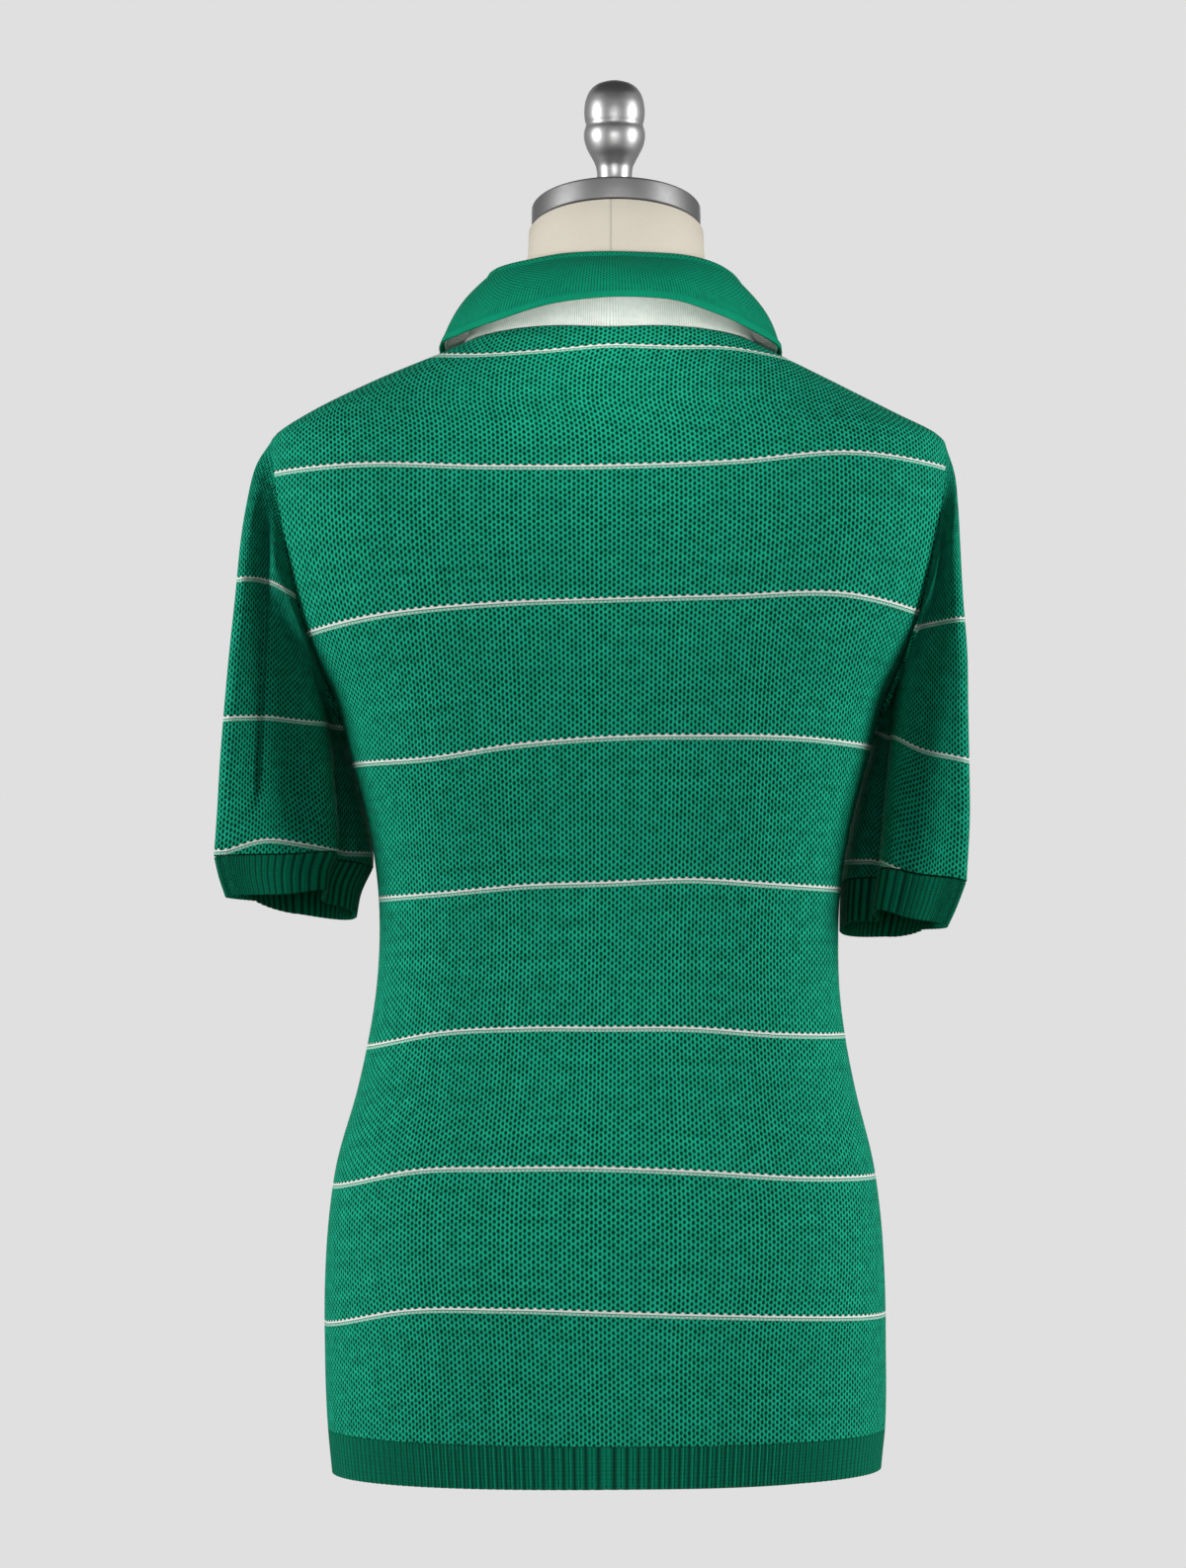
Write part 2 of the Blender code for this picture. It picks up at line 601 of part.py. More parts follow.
def make_form(cover):
    """The body's rings moved in under the cloth, cut flat at the arms and drawn in at the foot, then the neck."""
    feet = ((0.0, 0.0135), (0.004, 0.0105), (0.011, 0.0070), (0.024, 0.0030))
    levels = [z for z, _inset in feet] + [level for level in PANEL_LEVELS if level > 0.05]
    grid = np.array([[body_point(angle, z) for angle in ring_angles(FORM_SEGMENTS)] for z in levels])
    normals = grid_normals(grid, True)
    rings = []
    for number, z in enumerate(levels):
        inset = feet[number][1] if number < len(feet) else 0.0
        inset += 0.0022 * ease((z - 0.470) / 0.02) + 0.0020 * ease((z - SHOULDER) / 0.03)
        ring = grid[number] - normals[number] * (CLOTH + FORM_CLEAR + inset)
        if number < len(feet):
            ring[:, 2] = z
        ring[:, 0] = np.clip(ring[:, 0], -FORM_PLATE, FORM_PLATE)
        if z > 0.64:
            ring = outside_neck(ring, z)
        rings.append(ring)
    last = rings[-1]
    for z, share in ((0.714, 0.55), (0.726, 0.85), (0.742, 1.0)):
        ring = last * (1 - share) + neck_ring(NECK_RADIUS + 0.0007, z, 0.0) * share
        ring[:, 2] = z
        rings.append(ring)
    rings.append(neck_ring(NECK_RADIUS + 0.0003, CAP_TOP - CAP_THICK - 0.014, 0.6))
    rings.append(neck_ring(NECK_RADIUS - 0.0005, CAP_TOP - CAP_THICK - SEAM_GAP, 1.0))
    return stack("form_body", rings, cover)


def make_cap(metal):
    rings = []
    for down, radius in (
        (CAP_THICK, CAP_RADIUS - CAP_ROUND), (CAP_THICK - CAP_ROUND, CAP_RADIUS),
        (CAP_ROUND, CAP_RADIUS), (0.0, CAP_RADIUS - CAP_ROUND),
    ):
        rings.append(neck_ring(radius, CAP_TOP - down, 1.0))
    return stack("neck_cap", rings, metal)


def make_knob(metal):
    """Turned about the upright line through KNOB_X. Its foot follows the cap's slope, which fades up the stem."""
    rings = []
    for height, radius in KNOB:
        follow = 1 - ease(height / 0.016)
        ring = []
        for angle in ring_angles(28):
            y = NECK_Y + radius * sin(angle)
            ring.append((KNOB_X + radius * cos(angle), y, CAP_TOP + height + follow * CAP_SLOPE * (y - NECK_Y)))
        rings.append(ring)
    return stack("cap_knob", rings, metal)


# ---------------------------------------------------------------- build
def main():
    for piece in list(bpy.data.objects):
        bpy.data.objects.remove(piece)
    knit = finish("green knit", (0.0, 0.23, 0.10), 0.85)
    rib = finish("green rib", (0.0, 0.21, 0.09), 0.85)
    white = finish("white knit", (0.80, 0.82, 0.76), 0.85)
    pearl = finish("pearl button", (0.75, 0.78, 0.72), 0.25)
    cover = finish("cream cover", (0.75, 0.68, 0.55), 0.9)
    steel = finish("satin metal", (0.55, 0.55, 0.56), 0.35, 1.0)
    make_back(knit)
    make_front(knit)
    make_placket(knit, pearl)
    left = make_sleeve("left", 1, SLEEVE_LEFT, FOLDS_LEFT, knit)
    right = make_sleeve("right", -1, SLEEVE_RIGHT, FOLDS_RIGHT, knit)
    make_cuff("left", 1, CUFF_LEFT, FOLDS_LEFT, left, rib)
    make_cuff("right", -1, CUFF_RIGHT, FOLDS_RIGHT, right, rib)
    make_hem(rib)
    make_collar(knit, white)
    make_form(cover)
    make_cap(steel)
    make_knob(steel)


main()
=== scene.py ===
# %% [markdown]
# # A striped knitted polo on its dress form
#
# This lesson finishes a garment whose solids are already built. The solids carry the true sizes; here they
# get their looks: dense cloth shells, real ribs, a rolled collar, knit and stripes in the shader, and a
# metal knob. Everything is in metres, +Z up. The shirt's back faces +Y and the wearer's left side is at +X.

from math import atan2, cos, pi, radians, sin

import bpy
import numpy as np
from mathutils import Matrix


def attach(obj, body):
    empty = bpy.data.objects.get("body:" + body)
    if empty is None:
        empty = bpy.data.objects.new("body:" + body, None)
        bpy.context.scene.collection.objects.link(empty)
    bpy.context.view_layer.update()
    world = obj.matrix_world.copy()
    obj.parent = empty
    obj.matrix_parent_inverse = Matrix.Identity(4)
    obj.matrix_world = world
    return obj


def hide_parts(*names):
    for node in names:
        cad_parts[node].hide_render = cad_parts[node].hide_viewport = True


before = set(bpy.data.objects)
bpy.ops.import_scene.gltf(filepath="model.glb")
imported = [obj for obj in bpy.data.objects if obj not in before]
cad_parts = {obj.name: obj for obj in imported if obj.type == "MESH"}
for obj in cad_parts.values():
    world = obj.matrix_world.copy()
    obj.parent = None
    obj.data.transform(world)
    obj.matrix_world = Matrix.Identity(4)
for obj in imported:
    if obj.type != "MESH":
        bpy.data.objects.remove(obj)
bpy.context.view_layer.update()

# %% [markdown]
# ## Sizes
# The cloth shells follow the same rings as the solids, so the same tables drive them. Each table has a row
# for a level of the body or a ring of the sleeve. Reading between rows on smooth curves gives as many rings
# as we like.

# %% Body, sleeves and collar in short tables
KNIT_THICK, RIB_PLY, COLLAR_PLY = 0.0015, 0.0013, 0.0012
HEM_TOP, ARMPIT, SHOULDER, NECK_SIDE = 0.0288, 0.483, 0.6465, 0.703
ARMHOLE_HALF_DEPTH = 0.055
NECK_HALF_WIDTH, NECK_BACK, NECK_FRONT = 0.0915, 0.0615, 0.0775
SQUARENESS, SLEEVE_SQUARENESS = 2.3, 2.35

# z, half width, depth behind the side seams, depth in front of them, how far the middle lies
# toward the left arm
BODY = (
    (0.002, 0.1705, 0.1190, 0.1140, 0.0020), (0.030, 0.1731, 0.1210, 0.1160, 0.0021),
    (0.080, 0.1743, 0.1225, 0.1180, 0.0028), (0.120, 0.1740, 0.1210, 0.1170, 0.0031),
    (0.165, 0.1710, 0.1150, 0.1140, 0.0031), (0.190, 0.1675, 0.1100, 0.1110, 0.0030),
    (0.240, 0.1546, 0.0980, 0.1060, 0.0021), (0.265, 0.1494, 0.0925, 0.1050, 0.0018),
    (0.300, 0.1444, 0.0880, 0.1045, 0.0012), (0.330, 0.1430, 0.0865, 0.1050, 0.0006),
    (0.360, 0.1440, 0.0880, 0.1070, 0.0003), (0.400, 0.1500, 0.0950, 0.1120, 0.0000),
    (0.443, 0.1613, 0.1060, 0.1190, 0.0000), (0.486, 0.1740, 0.1160, 0.1250, 0.0000),
    (0.505, 0.1850, 0.1195, 0.1265, 0.0000), (0.528, 0.1990, 0.1220, 0.1265, 0.0000),
    (0.558, 0.2110, 0.1225, 0.1220, 0.0000), (0.600, 0.2170, 0.1160, 0.1090, 0.0000),
    (0.628, 0.2132, 0.1055, 0.0925, 0.0004), (0.646, 0.2068, 0.0970, 0.0765, 0.0020),
    (0.658, 0.1860, 0.0905, 0.0640, 0.0048), (0.678, 0.1462, 0.0790, 0.0470, 0.0046),
    (0.703, 0.0915, 0.0640, 0.0260, 0.0000), (0.718, 0.0618, 0.0550, 0.0100, 0.0000),
)
# ring, outer x, outer z, inner x, inner z, back y, front y, rise at the back, rise at the front
SLEEVE_LEFT = (
    (0, 0.2050, 0.6465, 0.1735, 0.4830, 0.0550, -0.0550, 0.000, 0.000),
    (1, 0.2162, 0.628, 0.1708, 0.4735, 0.0600, -0.0600, 0.000, 0.000),
    (2, 0.2225, 0.601, 0.1662, 0.4630, 0.0630, -0.0630, 0.000, 0.000),
    (3, 0.2270, 0.572, 0.1632, 0.4510, 0.0640, -0.0640, 0.000, 0.000),
    (4, 0.2302, 0.540, 0.1598, 0.4385, 0.0640, -0.0640, 0.000, -0.001),
    (5, 0.2336, 0.507, 0.1566, 0.4260, 0.0635, -0.0640, 0.001, -0.002),
    (6, 0.2366, 0.473, 0.1540, 0.4140, 0.0630, -0.0640, 0.002, -0.004),
    (7, 0.2393, 0.439, 0.1518, 0.4030, 0.0620, -0.0635, 0.002, -0.006),
    (8, 0.2411, 0.407, 0.1502, 0.3935, 0.0610, -0.0625, 0.003, -0.008),
    (9, 0.2430, 0.380, 0.1502, 0.3855, 0.0605, -0.0620, 0.003, -0.010),
)
SLEEVE_RIGHT = (
    (0, 0.2050, 0.6465, 0.1735, 0.4830, 0.0550, -0.0550, 0.000, 0.000),
    (1, 0.2115, 0.625, 0.1708, 0.4735, 0.0595, -0.0600, 0.000, 0.000),
    (2, 0.2138, 0.600, 0.1662, 0.4630, 0.0620, -0.0630, 0.000, 0.000),
    (3, 0.2153, 0.571, 0.1630, 0.4505, 0.0630, -0.0645, 0.000, -0.001),
    (4, 0.2170, 0.539, 0.1595, 0.4375, 0.0630, -0.0655, 0.001, -0.002),
    (5, 0.2195, 0.505, 0.1560, 0.4245, 0.0625, -0.0660, 0.002, -0.004),
    (6, 0.2200, 0.470, 0.1530, 0.4115, 0.0615, -0.0665, 0.004, -0.006),
    (7, 0.2207, 0.435, 0.1505, 0.3995, 0.0605, -0.0665, 0.005, -0.008),
    (8, 0.2210, 0.400, 0.1485, 0.3890, 0.0595, -0.0660, 0.006, -0.010),
    (9, 0.2190, 0.362, 0.1468, 0.3770, 0.0585, -0.0650, 0.006, -0.012),
)
# a cuff starts with its sleeve's last ring
CUFF_LEFT = (
    SLEEVE_LEFT[-1],
    (9.5, 0.2400, 0.367, 0.1575, 0.3735, 0.0595, -0.0610, 0.003, -0.014),
    (10, 0.2360, 0.354, 0.1605, 0.3600, 0.0585, -0.0600, 0.004, -0.016),
)
CUFF_RIGHT = (
    SLEEVE_RIGHT[-1],
    (9.5, 0.2130, 0.346, 0.1460, 0.3630, 0.0570, -0.0640, 0.006, -0.014),
    (10, 0.2075, 0.334, 0.1458, 0.3510, 0.0560, -0.0630, 0.006, -0.016),
)
# how far a sleeve's rings turn about its length, in degrees, and over how many rings from the armhole
TURN, TURN_RINGS = 56.0, 3.5
# angle round the sleeve (0 outermost, growing over the back), spread, depth, first ring, last ring
FOLDS_LEFT = (
    (54, 11, 0.0135, 0.4, 8.4), (84, 12, 0.0060, 5.0, 9.0), (108, 12, -0.0100, 2.0, 11.0),
    (138, 15, 0.0090, 2.0, 11.0), (160, 11, -0.0040, 0.1, 4.0), (-58, 15, 0.0050, 0.8, 6.0),
)
FOLDS_RIGHT = (
    (62, 11, 0.0080, 0.5, 5.0), (72, 12, 0.0060, 4.5, 9.5), (100, 12, -0.0100, 1.6, 11.0),
    (130, 15, 0.0110, 1.6, 11.0), (160, 11, -0.0040, 0.1, 4.0), (-66, 15, 0.0050, 0.8, 6.5),
)
# angle on the neckline, roll line x y z, leaf edge x y z
COLLAR = (
    (-87.5, 0.0070, -0.0850, 0.6700, 0.0430, -0.1120, 0.6080),
    (-70, 0.0300, -0.0790, 0.6860, 0.0740, -0.1010, 0.6230),
    (-45, 0.0560, -0.0570, 0.7120, 0.0985, -0.0640, 0.6620),
    (-20, 0.0700, -0.0250, 0.7340, 0.1045, -0.0240, 0.6945),
    (3, 0.0725, 0.0040, 0.7430, 0.1045, 0.0040, 0.7025),
    (28, 0.0690, 0.0300, 0.7460, 0.0930, 0.0340, 0.7050),
    (55, 0.0480, 0.0540, 0.7485, 0.0690, 0.0720, 0.7090),
    (75, 0.0240, 0.0640, 0.7510, 0.0330, 0.0940, 0.7170),
    (90, 0.0000, 0.0665, 0.7515, 0.0000, 0.0990, 0.7200),
    (105, -0.0240, 0.0655, 0.7510, -0.0330, 0.0950, 0.7195),
    (125, -0.0480, 0.0590, 0.7500, -0.0620, 0.0760, 0.7140),
    (152, -0.0715, 0.0360, 0.7445, -0.0900, 0.0380, 0.7060),
    (177, -0.0810, 0.0060, 0.7350, -0.1050, 0.0060, 0.7000),
    (200, -0.0750, -0.0230, 0.7270, -0.1055, -0.0240, 0.6930),
    (225, -0.0580, -0.0560, 0.7090, -0.0985, -0.0640, 0.6620),
    (250, -0.0310, -0.0790, 0.6850, -0.0740, -0.1010, 0.6230),
    (267.5, -0.0070, -0.0850, 0.6700, -0.0430, -0.1120, 0.6080),
)
ROLL_RADIUS, LEAF_LIFT = 0.0030, 0.0045

# %% [markdown]
# ## Reading a table on smooth curves
# Blender has curve objects for this, but a table read with cubic blending keeps every ring in step with its
# neighbours, and numpy reads thousands of points at once.

# %% Helpers for tables and curves


def cubic(t, span, low, high, slope_low, slope_high):
    """A smooth curve from low (t = 0) to high (t = 1) with a slope at each end."""
    return (
        (2 * t**3 - 3 * t**2 + 1) * low
        + (t**3 - 2 * t**2 + t) * span * slope_low
        + (3 * t**2 - 2 * t**3) * high
        + (t**3 - t**2) * span * slope_high
    )


def read_table(table, at):
    """A table's columns after the first, at many places, on smooth curves between its rows."""
    rows = np.array(table, float)
    keys, values = rows[:, 0], rows[:, 1:]
    slopes = np.gradient(values, keys, axis=0)
    at = np.clip(np.asarray(at, float), keys[0], keys[-1])
    i = np.clip(np.searchsorted(keys, at, side="right") - 1, 0, len(keys) - 2)
    span = (keys[i + 1] - keys[i])[..., None]
    t = (at - keys[i])[..., None] / span
    return cubic(t, span, values[i], values[i + 1], slopes[i], slopes[i + 1])


def ease(t):
    """0 below 0, 1 above 1, and a soft rise between."""
    t = np.clip(t, 0.0, 1.0)
    return t * t * (3 - 2 * t)


def power(value, exponent):
    """A power that keeps the value's sign."""
    return np.sign(value) * np.abs(value) ** exponent


# %% [markdown]
# ## The surface of the body
# A level ring of the body is a softened oval, wider than an ellipse at its corners. Its half width and its
# two depths come from the table, so one function gives any point of the shirt's outside.

# %% Points on the body


def body_points(angle, z):
    """Points of the rings at heights z, at angles from +X (0) through the centre back (pi/2)."""
    angle, z = np.broadcast_arrays(np.asarray(angle, float), np.asarray(z, float))
    half_width, back, front, shift = np.moveaxis(read_table(BODY, z), -1, 0)
    depth = np.where(np.sin(angle) >= 0, back, front)
    x = shift + half_width * power(np.cos(angle), 2 / SQUARENESS)
    y = depth * power(np.sin(angle), 2 / SQUARENESS)
    return np.stack([x, y, z], axis=-1)


def neckline_height(angle):
    """The height at which the ring's point lies on the neck hole's oval, seen from above."""
    angle = np.asarray(angle, float)
    low, high = np.full(angle.shape, 0.60), np.full(angle.shape, 0.717)
    depth = np.where(np.sin(angle) >= 0, NECK_BACK, NECK_FRONT)
    for _ in range(32):
        middle = (low + high) / 2
        x, y, _z = np.moveaxis(body_points(angle, middle), -1, 0)
        outside = (x / NECK_HALF_WIDTH) ** 2 + (y / depth) ** 2 > 1
        low, high = np.where(outside, middle, low), np.where(outside, high, middle)
    return low


def edge_angle(z, side):
    """Where a panel ends on its ring: at the side seam, the armhole or the shoulder seam."""
    z = np.asarray(z, float)
    run = np.clip((z - ARMPIT) / (SHOULDER - ARMPIT), 0, 1)
    edge = 0.00025 + ARMHOLE_HALF_DEPTH * np.sin(pi * run) ** 0.6
    depth = read_table(BODY, z)[..., 1 if side > 0 else 2]
    return np.arcsin((edge / depth) ** (SQUARENESS / 2))


# %% [markdown]
# ## From a grid of points to cloth
# A cloth shell is a grid mesh with a UV map, given its thickness by a Solidify modifier. The UV map is what
# makes knit believable: it counts stitches, not metres, so the pattern in the shader follows the cloth
# wherever it goes.

# %% A sheet of cloth from a grid


def clean_selection(active):
    """Deselect everything, then select one object and make it the active one."""
    bpy.ops.object.select_all(action="DESELECT")
    active.select_set(True)
    bpy.context.view_layer.objects.active = active


def new_piece(name, mesh):
    """A mesh as an object of the scene, selected and active."""
    piece = bpy.data.objects.new(name, mesh)
    bpy.context.scene.collection.objects.link(piece)
    clean_selection(piece)
    return piece


def cell_corners(row, column):
    """The rows and columns of a grid cell's four corners."""
    return (row, column), (row, column + 1), (row + 1, column + 1), (row + 1, column)


def sheet(name, points, cells, thickness, closed=False, keep=None, smooth_angle=1.2):
    """A cloth shell. points is rows x columns x 3, cells is the stitch count across and up at each point."""
    rows, columns = points.shape[:2]
    wrap = columns - 1 if closed else columns
    mesh = bpy.data.meshes.new(name)
    faces, corners = [], []
    for row in range(rows - 1):
        for column in range(columns - 1):
            if keep is not None and not keep(row, column):
                continue
            ring = cell_corners(row, column)
            faces.append([r * wrap + c % wrap for r, c in ring])
            corners.append(ring)
    vertices = points[:, :wrap].reshape(-1, 3)
    mesh.from_pydata(vertices.tolist(), [], faces)
    layer = mesh.uv_layers.new(name="cells")
    flat = np.array([cells[r, c] for ring in corners for r, c in ring], float)
    layer.data.foreach_set("uv", flat.ravel())
    piece = new_piece(name, mesh)
    if keep is not None:
        bpy.ops.object.mode_set(mode="EDIT")
        bpy.ops.mesh.select_mode(type="VERT")
        bpy.ops.mesh.select_all(action="SELECT")
        bpy.ops.mesh.delete_loose(use_verts=True, use_edges=True, use_faces=False)
        bpy.ops.object.mode_set(mode="OBJECT")
    solid = piece.modifiers.new("thickness", "SOLIDIFY")
    solid.thickness, solid.offset = thickness, -1.0
    solid.use_even_offset = False
    bpy.ops.object.modifier_apply(modifier=solid.name)
    bpy.ops.object.shade_smooth_by_angle(angle=smooth_angle)
    print(f"{name}: {len(piece.data.polygons)} faces")
    return piece


def add_piece(piece, finish, replaced):
    """Gives a piece its finish, hides the solid it stands for and hangs the piece on the root."""
    piece.data.materials.clear()
    piece.data.materials.append(finish)
    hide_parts(replaced)
    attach(piece, "root")


# %% [markdown]
# ## Counting stitches
# The knit's pattern is drawn in cells: one cell across is one open-work repeat, one cell up is two courses.
# A white stripe lies at every 23rd cell. The stripes sag and rise over the body, so the drape table says
# how high each one hangs at seven places from the wearer's right seam (-1) to the left seam (1).

# %% The drape of the stripes
CELL = 0.00532
STRIPE_CELLS = 23.0
# place, then the heights of the stripes from the lowest up
DRAPE = (
    (-1.00, 0.1000, 0.1850, 0.2718, 0.3620, 0.4500, 0.5300, 0.6220, 0.6905),
    (-0.70, 0.1034, 0.1870, 0.2733, 0.3644, 0.4534, 0.5402, 0.6276, 0.6946),
    (-0.35, 0.1062, 0.1913, 0.2772, 0.3673, 0.4537, 0.5374, 0.6200, 0.6940),
    (0.00, 0.1082, 0.1938, 0.2775, 0.3653, 0.4527, 0.5352, 0.6166, 0.6945),
    (0.35, 0.1096, 0.1936, 0.2773, 0.3636, 0.4483, 0.5329, 0.6168, 0.6910),
    (0.70, 0.1070, 0.1908, 0.2740, 0.3592, 0.4408, 0.5274, 0.6202, 0.6902),
    (1.00, 0.0940, 0.1785, 0.2645, 0.3560, 0.4392, 0.5180, 0.6185, 0.6940),
)
# height, how many more cells fit across a ring there than over the hip
NARROWING = (
    (0.030, 1.070), (0.080, 1.050), (0.140, 1.000), (0.165, 1.000), (0.240, 1.090), (0.320, 1.153),
    (0.400, 1.115), (0.500, 1.057), (0.585, 0.990), (0.660, 0.995), (0.720, 1.000),
)
# how far past the lowest and the highest stripe the count runs on to the next one
BELOW_STRIPES, ABOVE_STRIPES = 0.0845, 0.0600
# the front's stripes sag by this share of the back's
FRONT_SAG = 0.5


def stripe_heights(place, side):
    """The heights of all stripes at these places. Across the front they sag less than at the back."""
    heights = read_table(DRAPE, place)
    if side < 0:
        ends = read_table(DRAPE, np.array([-1.0, 1.0]))
        share = (np.asarray(place)[..., None] + 1) / 2
        seams = ends[0] * (1 - share) + ends[1] * share
        heights = seams + (heights - seams) * FRONT_SAG
    return heights


def count_at(z, heights, below, above, counts):
    """The stitch count at z: the stripes' heights, carried on at both ends and read backwards."""
    keys = np.concatenate([heights[..., :1] - below, heights, heights[..., -1:] + above], axis=-1)
    slopes = np.gradient(np.broadcast_to(counts, keys.shape), axis=-1) / np.gradient(keys, axis=-1)
    z = z[..., None]
    i = np.clip((keys <= z).sum(axis=-1, keepdims=True) - 1, 0, len(counts) - 2)
    low, high = np.take_along_axis(keys, i, -1), np.take_along_axis(keys, i + 1, -1)
    slope_low, slope_high = np.take_along_axis(slopes, i, -1), np.take_along_axis(slopes, i + 1, -1)
    span = high - low
    return cubic((z - low) / span, span, counts[i], counts[i + 1], slope_low, slope_high)[..., 0]


def lengths(points, axis):
    """The running length along one direction of the grid."""
    steps = np.linalg.norm(np.diff(points, axis=axis), axis=2)
    start = np.zeros_like(steps[:1] if axis == 0 else steps[:, :1])
    return np.concatenate([start, np.cumsum(steps, axis=axis)], axis=axis)


def cells_across(points):
    """The stitch count across: the length along each row from its middle, more where the body narrows."""
    run = lengths(points, 1)
    run -= run[:, points.shape[1] // 2][:, None]
    return run * read_table(NARROWING, points[..., 2])[..., 0] / CELL

# %% [markdown]
# ## Small tools for shader nodes
# Blender's knit has to be drawn from sums of waves. A few helpers keep that readable: one makes a node
# group with named inputs and outputs, one adds a Math node, one a smooth step between two values, one a mix
# of two colours.

# %% Helpers for node groups


def split(tree, vector):
    """A vector's X, Y and Z."""
    node = tree.nodes.new("ShaderNodeSeparateXYZ")
    tree.links.new(vector, node.inputs[0])
    return node.outputs


def material(name):
    """A new node material: the material, its tree and its Principled shader."""
    made = bpy.data.materials.new(name)
    made.use_nodes = True
    return made, made.node_tree, made.node_tree.nodes["Principled BSDF"]


def group(name, inputs, outputs):
    """An empty node group. inputs are (name, kind, value), outputs are (name, kind)."""
    tree = bpy.data.node_groups.new(name, "ShaderNodeTree")
    for label, kind, value in inputs:
        socket = tree.interface.new_socket(label, in_out="INPUT", socket_type=f"NodeSocket{kind}")
        if value is not None:
            socket.default_value = value
    for label, kind in outputs:
        tree.interface.new_socket(label, in_out="OUTPUT", socket_type=f"NodeSocket{kind}")
    return tree, tree.nodes.new("NodeGroupInput").outputs, tree.nodes.new("NodeGroupOutput").inputs


def feed(tree, socket, value):
    """Plugs a socket in, or sets its value."""
    if isinstance(value, bpy.types.NodeSocket):
        tree.links.new(value, socket)
    else:
        socket.default_value = value


def calc(tree, operation, *values):
    """A Math node, such as calc(tree, "ADD", a, 2). Returns its output."""
    node = tree.nodes.new("ShaderNodeMath")
    node.operation = operation
    for socket, value in zip(node.inputs, values):
        feed(tree, socket, value)
    return node.outputs[0]


def soft_step(tree, value, low, high):
    """0 below low, 1 above high, smooth between. With low over high it falls instead."""
    node = tree.nodes.new("ShaderNodeMapRange")
    node.interpolation_type = "SMOOTHSTEP"
    feed(tree, node.inputs["Value"], value)
    rising = low < high
    feed(tree, node.inputs["From Min"], low if rising else high)
    feed(tree, node.inputs["From Max"], high if rising else low)
    feed(tree, node.inputs["To Min"], 0.0 if rising else 1.0)
    feed(tree, node.inputs["To Max"], 1.0 if rising else 0.0)
    return node.outputs["Result"]


def blend(tree, share, first, second):
    """A colour mix: first at share 0, second at share 1."""
    node = tree.nodes.new("ShaderNodeMix")
    node.data_type = "RGBA"
    feed(tree, node.inputs["Factor"], share)
    feed(tree, node.inputs[6], first)
    feed(tree, node.inputs[7], second)
    return node.outputs[2]


def noise(tree, vector, scale, detail=2.0):
    """A Noise Texture. Returns its value, 0 to 1, about 0.5 on average."""
    node = tree.nodes.new("ShaderNodeTexNoise")
    feed(tree, node.inputs["Vector"], vector)
    node.inputs["Scale"].default_value = scale
    node.inputs["Detail"].default_value = detail
    return node.outputs["Fac"]


def wave(tree, value, turns):
    """The cosine of a value times a number of whole turns."""
    return calc(tree, "COSINE", calc(tree, "MULTIPLY_ADD", value, 2 * pi * turns, 0.0))


def times(tree, first, second):
    """One value times another."""
    return calc(tree, "MULTIPLY", first, second)


def scaled(tree, value, factor, start):
    """A value times a factor, plus a start."""
    return calc(tree, "MULTIPLY_ADD", value, factor, start)


def use(tree, node_tree, **inputs):
    """Places a node group in a tree and feeds its inputs. Returns its outputs."""
    node = tree.nodes.new("ShaderNodeGroup")
    node.node_tree = node_tree
    for label, value in inputs.items():
        feed(tree, node.inputs[label.replace("_", " ")], value)
    return node.outputs


# %% [markdown]
# ## Open-work knit
# The cloth is a net of yarn: rows of small six-sided holes, each row half a hole to the side of the next.
# Two waves multiplied give the offset rows, and a third one, twice as fine, draws the upright yarns between
# the holes. A little noise pulls the net out of true, as real yarn does.

# %% The node group for the net and its stripes
tree, given, out = group(
    "open work knit",
    [("Cells", "Vector", None), ("Slack", "Float", 0.10), ("Stripe", "Float", 1.0)],
    [(label, "Float") for label in ("Yarn", "Strand", "White", "Mint", "Height", "Streak")],
)
parts = split(tree, given["Cells"])
pull = tree.nodes.new("ShaderNodeTexNoise")
pull.inputs["Scale"].default_value = 0.9
pull.inputs["Detail"].default_value = 1.0
tree.links.new(given["Cells"], pull.inputs["Vector"])
pulled = tree.nodes.new("ShaderNodeSeparateColor")
tree.links.new(pull.outputs["Color"], pulled.inputs[0])
side_pull = times(tree, calc(tree, "SUBTRACT", pulled.outputs[0], 0.5), given["Slack"])
rise_pull = times(tree, calc(tree, "SUBTRACT", pulled.outputs[1], 0.5), given["Slack"])
across = scaled(tree, side_pull, 2.0, parts["X"])
up = scaled(tree, rise_pull, 2.0, parts["Y"])
net = times(tree, wave(tree, across, 1), wave(tree, up, 1))
upright = wave(tree, across, 2)
hole = calc(tree, "ADD", times(tree, net, 0.62), times(tree, upright, 0.38))
uneven = times(tree, calc(tree, "SUBTRACT", noise(tree, given["Cells"], 0.6, 1.0), 0.5), 0.5)
hole = calc(tree, "ADD", hole, uneven)
# Painted shade in the hole, green at its rim, and a painted highlight on the strand where the net is knotted.
yarn = soft_step(tree, hole, 0.58, -0.22)
strand = soft_step(tree, hole, -0.12, -0.40)
feed(tree, out["Strand"], strand)
